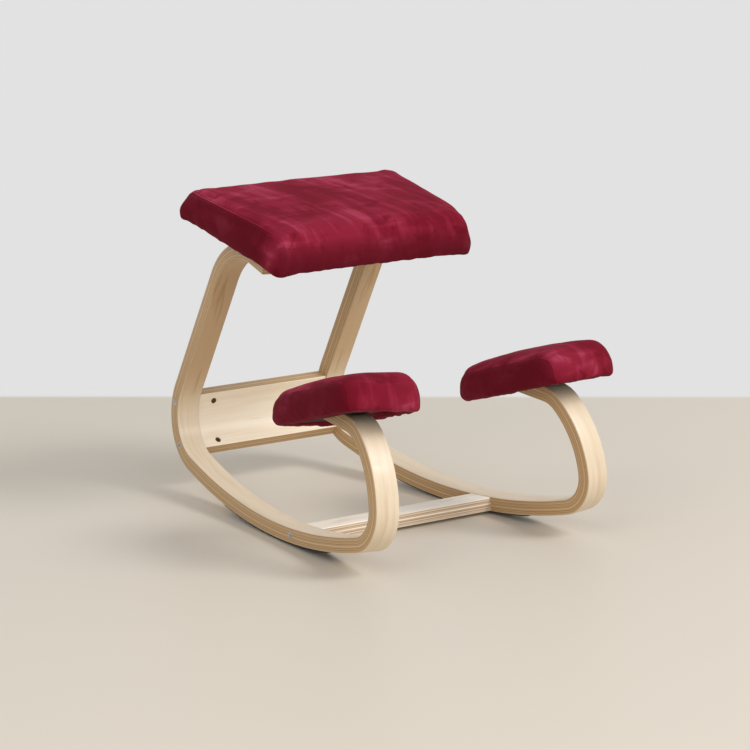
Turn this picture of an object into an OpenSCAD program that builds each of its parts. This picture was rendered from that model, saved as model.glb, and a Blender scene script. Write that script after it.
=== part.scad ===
// Rocking kneeling chair: two bent laminated runners, two crossbars, a sloping seat and two knee cushions.
// Millimetres. Z is up, the sitter faces -Y and the sitter's left is +X. The floor is Z = 0.
// Each runner is a flat C in its own plane. The planes spread to the front and lean in at the top.

/* [Runners] */
// Width of a runner across its laminations
runner_w = 43; // [36:1:52]
// Thickness of a runner through its laminations
runner_t = 26.4; // [22:0.2:32]
// Distance between the middles of the two runners, where they meet the floor
track = 388.5; // [350:0.5:420]
// Angle by which each runner spreads to the front
splay = 4.6; // [2:0.1:7]
// Angle by which each runner leans in at the top
lean = 3; // [0.5:0.1:5]
// Radius of the rocker along its middle lamination
rocker_r = 1060; // [900:10:1300]
// Angle of rocker behind the point of contact
rocker_rear = 17; // [14:0.5:20]
// Angle of rocker in front of the point of contact
rocker_front = 15; // [12:0.5:18]
// Place of the point of contact along the chair
contact_y = -25.3; // [-60:0.1:20]

/* [Bends] */
// Radius of the rear bend
rear_bend_r = 87; // [75:1:100]
// Turn of the rear bend
rear_bend_turn = 101.7; // [96:0.1:106]
// Radius of the bend below the seat
top_bend_r = 112; // [85:1:120]
// Radius of the front bend
front_bend_r = 61; // [50:1:75]
// Turn of the front bend
front_bend_turn = 83; // [78:0.5:88]
// Radius of the knee rise
rise_r = 170; // [150:1:190]
// Turn of the knee rise
rise_turn = 43; // [38:0.5:48]
// Radius of the last bend, below the knee cushion
knee_bend_r = 58; // [48:1:70]
// Turn of the last bend
knee_bend_turn = 34; // [30:0.5:38]
// Straight wood from the last bend to the cut end
knee_end_l = 84; // [70:1:110]

/* [Seat] */
// Height of the seat board's underside at the middle of the seat
seat_z = 480.5; // [450:1:500]
// Place of the middle of the seat along the chair
seat_y = 114; // [95:1:130]
// Slope of the seat, down to the front
seat_tilt = 14; // [10:0.25:17]
// How much wider the seat cushion's front edge is than the runners' track
seat_front_over = 9.5; // [0:0.5:30]
// How much wider the seat cushion's rear edge is than the runners' track
seat_rear_over = 53.5; // [20:0.5:80]
// Depth of the seat cushion
seat_d = 279; // [250:1:300]
// Height of the seat cushion's rim over its board's underside, in the middle of its depth
seat_h = 56; // [46:1:66]
// How much higher the seat cushion is at its front than at its rear
seat_wedge = 17; // [8:0.5:24]
// Rise of the seat's middle over its rim
seat_crown = 8; // [3:0.5:14]
// Radius of the seat's corners, seen from above
seat_corner_r = 8; // [6:0.5:16]
// Radius of the seat's top edge at its sides and rear
seat_edge_r = 6; // [4:0.5:10]
// Radius of the roll at the seat's front
seat_roll_r = 32; // [20:1:40]
// How far the middles of the seat's sides stand out from the lines between its corners
seat_bow = 2; // [0:0.5:6]
// Distance from the seat cushion's front edge to the front ends of the arms below it
seat_arm_back = 67.5; // [55:0.5:80]

/* [Knee cushions] */
// Height of the knee board's underside at the middle of the cushion
knee_z = 246.5; // [230:0.5:262]
// Place of the knee cushion's middle, in front of the point of contact
knee_s = 188; // [172:1:200]
// Slope of the knee cushions, up to the front
knee_tilt = 17; // [12:0.25:20]
// Width of a knee cushion
knee_w = 156; // [140:1:176]
// Length of a knee cushion
knee_d = 272; // [245:1:290]
// Height of a knee cushion's rim over its board's underside
knee_h = 54; // [46:1:62]
// Rise of a knee cushion's middle over its rim
knee_crown = 6; // [3:0.5:12]
// Radius of a knee cushion's corners, seen from above
knee_corner_r = 39; // [28:1:50]
// Radius of a knee cushion's top edge at its sides and rear
knee_edge_r = 27; // [16:1:32]
// Radius of the roll at a knee cushion's front
knee_roll_r = 36; // [20:1:42]

/* [Upholstery] */
// Thickness of the cushion boards
board_t = 12; // [9:0.5:16]
// Distance from the cushion's side to its board
board_inset = 9; // [7:0.5:14]
// Thickness of the cover cloth
cover_t = 1.2; // [0.8:0.1:2]
// Width of the hem that is turned in under a board
hem_w = 24; // [18:1:30]
// How far the turned-in hem hangs below a board's underside
hem_drop = 3.5; // [2:0.1:6]
// Smallest radius of a board's corners
least_corner_r = 3; // [2:0.5:5]
// Distance behind a cushion's front in which its roll fades into the edge of its side
roll_reach = 60; // [40:1:80]
// How far the cloth bulges between a cushion's bottom edge and its top edge
side_bulge = 1.5; // [0:0.1:3]
// Radius of a cushion's bottom edge
hem_r = 4; // [2:0.5:6]
// Gap between soft pieces and their neighbours
soft_gap = 0.3; // [0.2:0.05:0.6]

/* [Crossbars] */
// Thickness of the curved rear crossbar
rear_bar_t = 21; // [17:0.5:23]
// Angle of the curved rear crossbar's section
rear_bar_turn = 75; // [68:1:82]
// Direction of its lower edge on the rear bend, from straight below the bend's centre
rear_bar_start = 36; // [32:1:40]
// Depth of the front crossbar
front_bar_d = 52; // [46:1:60]
// Thickness of the front crossbar
front_bar_t = 24; // [20:0.5:26]
// Place of the front crossbar's middle, in front of the point of contact
front_bar_s = 59.5; // [50:0.5:75]
// Rounding of the front crossbar's long edges
bar_round = 3; // [1:0.5:5]

/* [Floor strips] */
// Thickness of the strip under each rocker
strip_t = 2; // [1.5:0.1:3]
// Width of the strip
strip_w = 38; // [30:1:41]
// Angle of rocker that the strip covers behind the point of contact
strip_rear = 9.5; // [8:0.5:12]
// Angle of rocker that the strip covers in front of the point of contact
strip_front = 9.5; // [8:0.5:12]

/* [Fasteners] */
// Diameter of the bolts
bolt_d = 6; // [5:0.5:8]
// Diameter of the bolts' heads
head_d = 12; // [11:0.5:14]
// Thickness of the bolts' heads
head_t = 2.5; // [2:0.1:3.5]
// Width across the flats of the bolts' sockets
socket_w = 4; // [3:0.5:5]
// Depth of the bolts' sockets
socket_depth = 1.8; // [1:0.1:2.2]
// Length of a crossbar bolt below its head
bar_bolt_l = 80; // [74:1:88]
// Distance from a crossbar's end to its barrel nuts
nut_in = 31; // [28:1:36]
// Diameter of the barrel nuts
barrel_d = 10; // [9:0.5:12]
// Length of the barrel nuts
barrel_l = 14; // [12:0.5:16]
// Diameter of the dowels
dowel_d = 8; // [6:0.5:9]
// Length of the dowels
dowel_l = 30; // [24:1:34]
// Distance from a dowel to its bolt
dowel_gap = 15; // [13:0.5:16]
// Angle on the rear bend from the crossbar's edges to its bolts
rear_bolt_in = 11; // [9:0.5:16]
// Clearance round a bolt, a nut or a dowel
bore_gap = 0.3; // [0.2:0.05:0.5]
// Distance between the two bolts of a seat arm
seat_bolt_gap = 26; // [22:1:32]
// Distance between the two bolts of a knee end
knee_bolt_gap = 26; // [22:1:30]
// Distance from a knee cushion's middle to the nearer one of its bolts
knee_bolt_in = 2; // [0:0.5:4]
// Depth of the cushion bolts' heads below the wood's surface
head_in = 2; // [1:0.1:3]
// Diameter of a T-nut's flange
flange_d = 19; // [16:0.5:22]
// Thickness of a T-nut's flange
flange_t = 1.5; // [1:0.1:2]
// Diameter of a T-nut's barrel
t_nut_d = 8.6; // [8.2:0.2:10]
// Depth of a T-nut's barrel below its flange
t_nut_l = 9; // [7:0.5:9.5]

/* [Hidden] */

wood = "burlywood";
wood_face = "wheat";
cloth = "brown";
under_cloth = "black";
foam_colour = "lightyellow";
metal = "silver";
rubber = "dimgray";

// Directions in a runner's plane: S runs rearwards and T upwards from the point of contact.
function along(heading) = [cos(heading), sin(heading)];
function across(heading) = [-sin(heading), cos(heading)];

// Points and headings of an arc that starts at a point with a heading. A positive turn is to the left.
function arc(start, heading, radius, turn, step) =
    let (
        steps = max(3, ceil(abs(turn) / step)),
        side = turn > 0 ? 1 : -1,
        centre = start + side * radius * across(heading)
    )
    [for (i = [0:steps]) let (h = heading + turn * i / steps) [centre - side * radius * across(h), h]];

function last(list) = list[len(list) - 1];
function rest(list) = [for (i = [1:len(list) - 1]) list[i]];
function reversed(list) = [for (i = [len(list) - 1:-1:0]) list[i]];

bend_step_turn = 4;
rocker_step_turn = 1.5;

// The seat's frame has X across, Y along the slope to the rear and Z square to the board's underside.
seat_arm_drop = runner_w / 2 * sin(lean);

// Lift of a runner that puts the lowest edge of its floor strip on the floor
lift = strip_t * cos(lean) + strip_w / 2 * sin(lean);

// A place in the left runner's frame, as a place in the chair's frame
function placed(u, s, t) =
    let (out = u * cos(lean) - t * sin(lean))
    [track / 2 + out * cos(splay) - s * sin(splay),
     contact_y + out * sin(splay) + s * cos(splay),
     lift + u * sin(lean) + t * cos(lean)];

// Height T in the runner's plane of the underside of the seat's cloth, at a distance S, measured on its middle
seat_slope = tan(seat_tilt);
function seat_t_at(s) =
    let (
        base = placed(0, s, 0),
        level = seat_z - (cover_t / cos(seat_tilt)) + (base[1] - seat_y) * seat_slope
    )
    (level - lift) / (cos(lean) + sin(lean) * sin(splay) * seat_slope);

// The arm's top runs parallel to the seat, high enough for the cut to seat its whole width.
arm_slope = (seat_t_at(runner_w) - seat_t_at(0)) / runner_w;
arm_tilt = atan(arm_slope);
arm_heading = 180 + arm_tilt;
arm_level = seat_t_at(0) + seat_arm_drop / cos(arm_tilt);

// Middle line of the runner, from the point of contact to the rear and up to the seat arm
rocker_start = [0, runner_t / 2];
rear_rocker = arc(rocker_start, 0, rocker_r, rocker_rear, rocker_step_turn);
rear_bend = arc(last(rear_rocker)[0], rocker_rear, rear_bend_r, rear_bend_turn, bend_step_turn);
leg_heading = rocker_rear + rear_bend_turn;
top_turn = arm_heading - leg_heading;
top_move = top_bend_r * (across(leg_heading) - across(arm_heading));
arm_normal = -across(arm_heading);
arm_offset = arm_level * cos(arm_tilt) - runner_t / 2;
leg_l = (arm_offset - arm_normal * (last(rear_bend)[0] + top_move)) / (arm_normal * along(leg_heading));
leg_top = last(rear_bend)[0] + leg_l * along(leg_heading);
top_bend = arc(leg_top, leg_heading, top_bend_r, top_turn, bend_step_turn);
seat_s = (seat_y - contact_y) / cos(splay);
arm_end_s = seat_s - (seat_d / 2 - seat_arm_back);
arm_l = (last(top_bend)[0][0] - arm_end_s) / cos(arm_tilt);
arm_end = last(top_bend)[0] + arm_l * along(arm_heading);
rear_path = concat(rear_rocker, rest(rear_bend), [[leg_top, leg_heading]], rest(top_bend), [[arm_end, arm_heading]]);

// Middle line of the runner, from the point of contact to the front and up to the knee end
front_rocker = arc(rocker_start, 180, rocker_r, -rocker_front, rocker_step_turn);
front_bend = arc(last(front_rocker)[0], 180 - rocker_front, front_bend_r, -front_bend_turn, bend_step_turn);
rise_heading = 180 - rocker_front - front_bend_turn;
rise = arc(last(front_bend)[0], rise_heading, rise_r, -rise_turn, bend_step_turn);
knee_heading = rise_heading - rise_turn;
knee_bend = arc(last(rise)[0], knee_heading, knee_bend_r, -knee_bend_turn, bend_step_turn);
end_heading = knee_heading - knee_bend_turn;
knee_end = last(knee_bend)[0] + knee_end_l * along(end_heading);
front_path = concat(front_rocker, rest(front_bend), rest(rise), rest(knee_bend), [[knee_end, end_heading]]);

// The same line, followed from its other end
half_turn = 180;
function turned_back(line) = [for (p = reversed(line)) [p[0], p[1] + half_turn]];

path = concat(turned_back(front_path), rest(rear_path));

// Outline of the strip of the path that lies between two offsets from its middle line
function band(line, low, high) = concat(
    [for (p = line) p[0] + low * across(p[1])],
    [for (p = reversed(line)) p[0] + high * across(p[1])]
);

// Extra length of every cut
over = 40;
wide = 4 * track;

// A piece drawn in the left runner's frame, on one side of the chair
module on_runner(side) {
    mirror([side < 0 ? 1 : 0, 0, 0])
        translate([track / 2, contact_y, lift])
            rotate([0, 0, splay])
                rotate([0, -lean, 0])
                    children();
}

// Turns a drawing of S and T, with its height across, into the runner's frame
module upright() {
    rotate([90, 0, 90]) children();
}

module on_seat() {
    translate([0, seat_y, seat_z]) rotate([seat_tilt, 0, 0]) children();
}

// The knee cushion's frame, inside the runner's frame
knee_t = (knee_z - lift) / cos(lean);
module on_knee() {
    translate([0, -knee_s, knee_t]) rotate([-knee_tilt, 0, 0]) children();
}

// Bolt and nut places

// The rear bend's centre in the runner's plane, with the bolts' directions on it
rear_centre = last(rear_rocker)[0] + rear_bend_r * across(rocker_rear);
rear_bolt_angles = [rear_bar_start + rear_bolt_in, rear_bar_start + rear_bar_turn - rear_bolt_in];
function on_rear_bend(angle) = rear_centre - rear_bend_r * across(angle);

// The front crossbar's middle on the rocker, with its tilt there
front_angle = -asin(front_bar_s / rocker_r);
front_centre = [0, runner_t / 2 + rocker_r] - rocker_r * across(front_angle);

bolt_hole_d = bolt_d + 2 * bore_gap;
head_hole_d = head_d + 2 * bore_gap;
barrel_hole_d = barrel_d + 2 * bore_gap;
dowel_hole_d = dowel_d + 2 * bore_gap;
round_fn = 32;

module at_plane(p) {
    translate([0, p[0], p[1]]) children();
}

// A crossbar bolt on the X axis, with its head at the origin and its thread towards -X
module bar_bolt() {
    rotate([0, -90, 0]) {
        difference() {
            cylinder(d = head_d, h = head_t, $fn = round_fn);
            translate([0, 0, -bore_gap]) cylinder(d = socket_w / cos(30), h = socket_depth + bore_gap, $fn = 6);
        }
        translate([0, 0, head_t]) cylinder(d = bolt_d, h = bar_bolt_l - head_t, $fn = round_fn);
    }
}

module bar_bolt_hole() {
    rotate([0, -90, 0]) {
        translate([0, 0, -over]) cylinder(d = head_hole_d, h = over + head_t, $fn = round_fn);
        cylinder(d = bolt_hole_d, h = bar_bolt_l + bore_gap, $fn = round_fn);
    }
}

// A barrel nut across a bolt, standing along Z, with its threaded bore along X
module barrel_nut(length) {
    difference() {
        cylinder(d = barrel_d, h = length, center = true, $fn = round_fn);
        rotate([0, 90, 0]) cylinder(d = bolt_hole_d, h = 2 * barrel_d, center = true, $fn = round_fn);
    }
}

// Room for a barrel nut, open to the crossbar's upper face (1) or its lower face (-1)
module nut_hole(face) {
    mirror([0, 0, face < 0 ? 1 : 0])
        translate([-runner_w - nut_in, 0, -barrel_l / 2 - bore_gap])
            cylinder(d = barrel_hole_d, h = barrel_l + over, $fn = round_fn);
}

module at_rear_bolts(side) {
    on_runner(side)
        for (angle = rear_bolt_angles)
            at_plane(on_rear_bend(angle)) translate([runner_w / 2, 0, 0]) rotate([angle, 0, 0]) children();
}

module at_front_bolt(side) {
    on_runner(side)
        at_plane(front_centre) translate([runner_w / 2, 0, 0]) rotate([front_angle, 0, 0]) children();
}

module at_dowel(side) {
    on_runner(side)
        at_plane(front_centre) translate([-runner_w / 2, 0, 0]) rotate([front_angle, 0, 0])
            translate([0, dowel_gap, 0]) children();
}

module dowel(d, l) {
    rotate([0, 90, 0]) cylinder(d = d, h = l, center = true, $fn = round_fn);
}

// Cushion bolts stand along Z under a board, with their heads in the wood below.
// Their places are in the board's own frame.
arm_middle = (arm_end_s + last(top_bend)[0][0]) / 2;
function seat_bolt_place(i) =
    let (
        s = arm_middle + (i - 0.5) * seat_bolt_gap * cos(arm_tilt),
        p = placed(0, s, seat_t_at(s))
    )
    [p[0], (p[1] - seat_y) * cos(seat_tilt) + (p[2] - seat_z) * sin(seat_tilt), 0];

function knee_bolt_place(i) = [0, -knee_bolt_in - i * knee_bolt_gap, 0];

// Wood between a cushion bolt's head and the cloth. The knee end is cut at a slant, so its two bolts differ.
seat_grip = runner_t - head_t - head_in;
end_slant = knee_tilt + end_heading;
end_corner = knee_end - runner_t / 2 * across(end_heading) - [-knee_s, knee_t];
end_corner_y = end_corner * along(-knee_tilt);
end_corner_z = end_corner * across(-knee_tilt);
function knee_wood_t(y) = (end_corner_y - y) * tan(end_slant) - end_corner_z - cover_t;
function knee_grip(i) = knee_wood_t(knee_bolt_place(i)[1]) - head_t - head_in;

module cushion_bolt(grip) {
    length = grip + cover_t + board_t - bore_gap;
    translate([0, 0, -cover_t - grip]) {
        cylinder(d = bolt_d, h = length, $fn = round_fn);
        difference() {
            translate([0, 0, -head_t]) cylinder(d = head_d, h = head_t, $fn = round_fn);
            translate([0, 0, -head_t - bore_gap])
                cylinder(d = socket_w / cos(30), h = socket_depth + bore_gap, $fn = 6);
        }
    }
}

module cushion_bolt_hole(grip) {
    translate([0, 0, -cover_t - grip - over]) cylinder(d = head_hole_d, h = over, $fn = round_fn);
    translate([0, 0, -over]) cylinder(d = bolt_hole_d, h = over + board_t, $fn = round_fn);
}

// A T-nut: its flange lies flush in the board's top, its barrel reaches down into the board.
module t_nut() {
    difference() {
        union() {
            translate([0, 0, board_t - flange_t]) cylinder(d = flange_d, h = flange_t, $fn = round_fn);
            translate([0, 0, board_t - flange_t - t_nut_l]) cylinder(d = t_nut_d, h = t_nut_l, $fn = round_fn);
        }
        translate([0, 0, -over]) cylinder(d = bolt_hole_d, h = 2 * over, $fn = round_fn);
    }
}

module t_nut_hole() {
    translate([0, 0, board_t - flange_t]) cylinder(d = flange_d + 2 * bore_gap, h = over, $fn = round_fn);
    translate([0, 0, -over]) cylinder(d = t_nut_d + 2 * bore_gap, h = 2 * over, $fn = round_fn);
}

// Runners

module runner(side) {
    color(wood)
        difference() {
            on_runner(side) upright() linear_extrude(runner_w, center = true)
                polygon(band(path, -runner_t / 2, runner_t / 2));
            // The seat arm and the knee end are cut to the cloth that they carry.
            on_seat() translate([-wide / 2, -seat_d / 2 - over, -cover_t]) cube([wide, seat_d + 2 * over, over]);
            on_runner(side) on_knee() translate([-knee_w, -knee_d / 2 - over, -cover_t])
                cube([2 * knee_w, knee_d + over, 2 * over]);
            at_rear_bolts(side) bar_bolt_hole();
            at_front_bolt(side) bar_bolt_hole();
            at_dowel(side) dowel(dowel_hole_d, dowel_l + 2 * bore_gap);
            on_seat() for (i = [0, 1]) {
                p = seat_bolt_place(i);
                translate([side * p[0], p[1], 0]) cushion_bolt_hole(seat_grip);
            }
            on_runner(side) on_knee() for (i = [0, 1]) translate(knee_bolt_place(i)) cushion_bolt_hole(knee_grip(i));
        }
}

module right_runner() {
    runner(-1);
}

module left_runner() {
    runner(1);
}

module floor_strip(side) {
    line = concat(
        turned_back(arc(rocker_start, half_turn, rocker_r, -strip_front, rocker_step_turn)),
        rest(arc(rocker_start, 0, rocker_r, strip_rear, rocker_step_turn))
    );
    color(rubber)
        on_runner(side) upright() linear_extrude(strip_w, center = true)
            polygon(band(line, -runner_t / 2 - strip_t, -runner_t / 2));
}

module right_floor_strip() {
    floor_strip(-1);
}

module left_floor_strip() {
    floor_strip(1);
}

// Crossbars

// The space outside the inner faces of both runners, which a crossbar is cut to
module beyond_runners() {
    for (side = [-1, 1])
        on_runner(side) translate([-runner_w / 2, -wide / 2, -wide / 2]) cube([wide, wide, wide]);
}

module rear_crossbar() {
    centre = placed(-runner_w / 2, rear_centre[0], rear_centre[1]);
    color(wood_face)
        difference() {
            translate([0, centre[1], centre[2]])
                rotate([rear_bar_start - 90, 0, 0])
                    rotate([90, 0, 90])
                        rotate_extrude(angle = rear_bar_turn, $fn = 4 * round_fn)
                            translate([rear_bend_r - rear_bar_t / 2, -track / 2])
                                square([rear_bar_t, track]);
            beyond_runners();
            for (side = [-1, 1]) at_rear_bolts(side) {
                bar_bolt_hole();
                nut_hole(1);
            }
        }
}

module front_crossbar() {
    centre = placed(-runner_w / 2, front_centre[0], front_centre[1]);
    color(wood_face)
        difference() {
            translate([0, centre[1], centre[2]])
                rotate([front_angle, 0, 0])
                    rotate([90, 0, 90])
                        linear_extrude(track, center = true)
                            front_bar_section();
            beyond_runners();
            for (side = [-1, 1]) {
                at_front_bolt(side) {
                    bar_bolt_hole();
                    nut_hole(-1);
                }
                at_dowel(side) dowel(dowel_hole_d, dowel_l + 2 * bore_gap);
            }
        }
}

module front_bar_section() {
    flat_d = front_bar_d - 2 * bar_round;
    flat_t = front_bar_t - 2 * bar_round;
    union() {
        square([flat_d, front_bar_t], center = true);
        square([front_bar_d, flat_t], center = true);
        for (x = [-1, 1], y = [-1, 1])
            translate([x * flat_d / 2, y * flat_t / 2]) circle(r = bar_round, $fn = round_fn);
    }
}

module crossbar_dowels() {
    color(wood) for (side = [-1, 1]) at_dowel(side) dowel(dowel_d, dowel_l);
}

module rear_crossbar_bolts() {
    color(metal) for (side = [-1, 1]) at_rear_bolts(side) bar_bolt();
}

module rear_barrel_nuts() {
    color(metal) for (side = [-1, 1]) at_rear_bolts(side)
        translate([-runner_w - nut_in, 0, 0]) barrel_nut(barrel_l);
}

module front_crossbar_bolts() {
    color(metal) for (side = [-1, 1]) at_front_bolt(side) bar_bolt();
}

module front_barrel_nuts() {
    color(metal) for (side = [-1, 1]) at_front_bolt(side)
        translate([-runner_w - nut_in, 0, 0]) barrel_nut(barrel_l);
}

// Cushions

// A cushion is a list of these sizes. Its frame has its board's underside at the height of zero.
function front_w(c) = c[0];
function rear_w(c) = c[1];
function depth(c) = c[2];
function height(c) = c[3];
function wedge(c) = c[4];
function crown(c) = c[5];
function corner_r(c) = c[6];
function edge_r(c) = c[7];
function roll_r(c) = c[8];
function bow(c) = c[9];

seat_front_w = track + seat_front_over;
seat_rear_w = track + seat_rear_over;
seat_form = [
    seat_front_w, seat_rear_w, seat_d, seat_h, seat_wedge, seat_crown, seat_corner_r, seat_edge_r, seat_roll_r, seat_bow
];
knee_form = [knee_w, knee_w, knee_d, knee_h, 0, knee_crown, knee_corner_r, knee_edge_r, knee_roll_r, 0];

// The same cushion, smaller by an even layer all round and on top
function shrunk(c, by) = [
    front_w(c) - 2 * by, rear_w(c) - 2 * by, depth(c) - 2 * by, height(c) - by, wedge(c),
    crown(c), corner_r(c) - by, edge_r(c) - by, roll_r(c) - by, bow(c)
];

corner_steps = 5;
side_steps = 4;
edge_steps = 3;
crown_shares = [0.3, 0.65];
outline_count = 4 * (corner_steps + side_steps);
level_count = 4 + edge_steps + len(crown_shares);

// Points of a cushion's outline at an inset of its own for every point: corners as arcs, with points between
function outline_place(c, i, inset) =
    let (
        corner = floor(i / (corner_steps + side_steps)),
        k = i % (corner_steps + side_steps),
        middle_w = (front_w(c) + rear_w(c)) / 2,
        half = [middle_w / 2 - inset, depth(c) / 2 - inset],
        r = max(corner_r(c) - inset, least_corner_r),
        quarter = [[1, 1], [-1, 1], [-1, -1], [1, -1]],
        here = [for (a = [0, 1]) quarter[corner][a] * (half[a] - r)],
        next = [for (a = [0, 1]) quarter[(corner + 1) % 4][a] * (half[a] - r)],
        angle = 90 * corner + 90 * min(k, corner_steps) / corner_steps,
        share = max(0, k - corner_steps) / side_steps,
        stand_out = bow(c) * 4 * share * (1 - share) * along(90 * (corner + 1)),
        p = here + (next - here) * share + r * along(angle) + stand_out,
        wide_here = front_w(c) + (rear_w(c) - front_w(c)) * (p[1] / depth(c) + 0.5)
    )
    [p[0] * wide_here / middle_w, p[1]];

// How much of the front's roll a point takes: all of it on the front edge, none beyond the roll's reach
function roll_share(c, y) = max(0, min(1, 1 - (y + depth(c) / 2) / roll_reach));

// Raises the cushion's front and lowers its rear, by as much as a point's own height calls for
function wedged(c, p) = [p[0], p[1], p[2] - wedge(c) * max(0, p[2]) / height(c) * p[1] / depth(c)];

// Levels of a cushion: its bottom edge, its side, its rolled top edge and its crown
function level_place(c, level, i) =
    let (
        base = outline_place(c, i, 0),
        r = edge_r(c) + (roll_r(c) - edge_r(c)) * roll_share(c, base[1]),
        top = height(c) - r,
        hem_top = hem_r - hem_drop,
        edge = outline_place(c, i, side_bulge + r)
    )
    level == 0 ? concat(outline_place(c, i, hem_r), [-hem_drop]) :
    level == 1 ? concat(outline_place(c, i, side_bulge), [hem_top]) :
    level == 2 ? concat(base, [(hem_top + top) / 2]) :
    level <= 3 + edge_steps ?
        let (angle = 90 * (level - 3) / edge_steps)
        concat(outline_place(c, i, side_bulge + r * (1 - cos(angle))), [top + r * sin(angle)]) :
    let (s = crown_shares[level - 4 - edge_steps])
    concat(edge * (1 - s), [height(c) + crown(c) * (1 - pow(1 - s, 2))]);

// A closed crowned cushion, cut off flat at a bottom height
module cushion(c, bottom) {
    n = outline_count;
    points = concat(
        [for (level = [0:level_count - 1], i = [0:n - 1])
            let (p = wedged(c, level_place(c, level, i))) [p[0], p[1], max(p[2], bottom)]],
        [[0, 0, bottom], [0, 0, height(c) + crown(c)]]
    );
    sides = [for (level = [0:level_count - 2], i = [0:n - 1])
        let (a = level * n + i, b = level * n + (i + 1) % n) each [[a, a + n, b], [b, a + n, b + n]]];
    caps = [for (i = [0:n - 1]) each [
        [i, (i + 1) % n, n * level_count],
        [n * (level_count - 1) + (i + 1) % n, n * (level_count - 1) + i, n * level_count + 1]
    ]];
    polyhedron(points = points, faces = concat(sides, caps), convexity = 4);
}

// Outline of a board, or of the opening of a hem
module board_outline(c, inset) {
    polygon([for (i = [0:outline_count - 1]) outline_place(c, i, inset)]);
}

// The cloth: the cushion's form less the room for board and foam, open inside the hem
module cover_shell(c) {
    color(cloth)
        difference() {
            cushion(c, -hem_drop);
            cushion(shrunk(c, cover_t), 0);
            translate([0, 0, -over]) linear_extrude(over + soft_gap) board_outline(c, board_inset + hem_w);
        }
}

module foam_block(c) {
    room = shrunk(c, cover_t + soft_gap);
    color(foam_colour)
        intersection() {
            cushion(room, 0);
            translate([0, 0, board_t + soft_gap]) linear_extrude(2 * height(room)) board_outline(room, 0);
        }
}

module board_plate(c) {
    linear_extrude(board_t) board_outline(c, board_inset);
}

module dust_plate(c) {
    translate([0, 0, -cover_t]) linear_extrude(cover_t) board_outline(c, board_inset + hem_w + soft_gap);
}

module at_seat_bolts() {
    on_seat() for (side = [-1, 1], i = [0, 1]) {
        p = seat_bolt_place(i);
        translate([side * p[0], p[1], 0]) children();
    }
}

module seat_board() {
    color(wood)
        difference() {
            on_seat() board_plate(seat_form);
            at_seat_bolts() t_nut_hole();
        }
}

module seat_foam() {
    on_seat() foam_block(seat_form);
}

// Room in the seat's hem for an arm that presses it flat
module arm_room(side) {
    intersection() {
        on_runner(side) upright() linear_extrude(runner_w + 2 * soft_gap, center = true)
            polygon(band(rear_path, -runner_t / 2 - soft_gap, runner_t / 2 + over));
        on_seat() translate([-wide / 2, -wide / 2, -over - cover_t + soft_gap]) cube([wide, wide, over]);
    }
}

module seat_cover() {
    color(cloth)
        difference() {
            on_seat() cover_shell(seat_form);
            for (side = [-1, 1]) arm_room(side);
        }
}

module seat_dust_cover() {
    color(under_cloth)
        difference() {
            on_seat() dust_plate(seat_form);
            at_seat_bolts() translate([0, 0, -over]) cylinder(d = bolt_hole_d, h = 2 * over, $fn = round_fn);
        }
}

module seat_bolts() {
    color(metal) at_seat_bolts() cushion_bolt(seat_grip);
}

module seat_t_nuts() {
    color(metal) at_seat_bolts() t_nut();
}

module at_knee_bolts(side) {
    on_runner(side) on_knee() for (i = [0, 1]) translate(knee_bolt_place(i)) children();
}

module knee_board(side) {
    color(wood)
        difference() {
            on_runner(side) on_knee() board_plate(knee_form);
            at_knee_bolts(side) t_nut_hole();
        }
}

module knee_dust_cover(side) {
    color(under_cloth)
        difference() {
            on_runner(side) on_knee() dust_plate(knee_form);
            at_knee_bolts(side) translate([0, 0, -over]) cylinder(d = bolt_hole_d, h = 2 * over, $fn = round_fn);
        }
}

module knee_bolts(side) {
    color(metal) on_runner(side) on_knee() for (i = [0, 1])
        translate(knee_bolt_place(i)) cushion_bolt(knee_grip(i));
}

module right_knee_board() {
    knee_board(-1);
}

module right_knee_foam() {
    on_runner(-1) on_knee() foam_block(knee_form);
}

module right_knee_cover() {
    on_runner(-1) on_knee() cover_shell(knee_form);
}

module right_knee_dust_cover() {
    knee_dust_cover(-1);
}

module right_knee_bolts() {
    knee_bolts(-1);
}

module right_knee_t_nuts() {
    color(metal) at_knee_bolts(-1) t_nut();
}

module left_knee_board() {
    knee_board(1);
}

module left_knee_foam() {
    on_runner(1) on_knee() foam_block(knee_form);
}

module left_knee_cover() {
    on_runner(1) on_knee() cover_shell(knee_form);
}

module left_knee_dust_cover() {
    knee_dust_cover(1);
}

module left_knee_bolts() {
    knee_bolts(1);
}

module left_knee_t_nuts() {
    color(metal) at_knee_bolts(1) t_nut();
}

right_runner();
left_runner();
rear_crossbar();
front_crossbar();
crossbar_dowels();
rear_crossbar_bolts();
rear_barrel_nuts();
front_crossbar_bolts();
front_barrel_nuts();
right_floor_strip();
left_floor_strip();
seat_board();
seat_foam();
seat_cover();
seat_dust_cover();
seat_bolts();
seat_t_nuts();
right_knee_board();
right_knee_foam();
right_knee_cover();
right_knee_dust_cover();
right_knee_bolts();
right_knee_t_nuts();
left_knee_board();
left_knee_foam();
left_knee_cover();
left_knee_dust_cover();
left_knee_bolts();
left_knee_t_nuts();
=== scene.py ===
"""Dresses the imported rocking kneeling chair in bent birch, brushed velour, steel and felt.

Sizes are metres in the chair's own frame: Z is up, the sitter faces -Y and the sitter's left is +X.
"""

import logging
import math
from collections.abc import Callable
from dataclasses import dataclass
from enum import Enum

import bmesh
import bpy
import numpy as np
from mathutils import Matrix, Vector, noise


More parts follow.
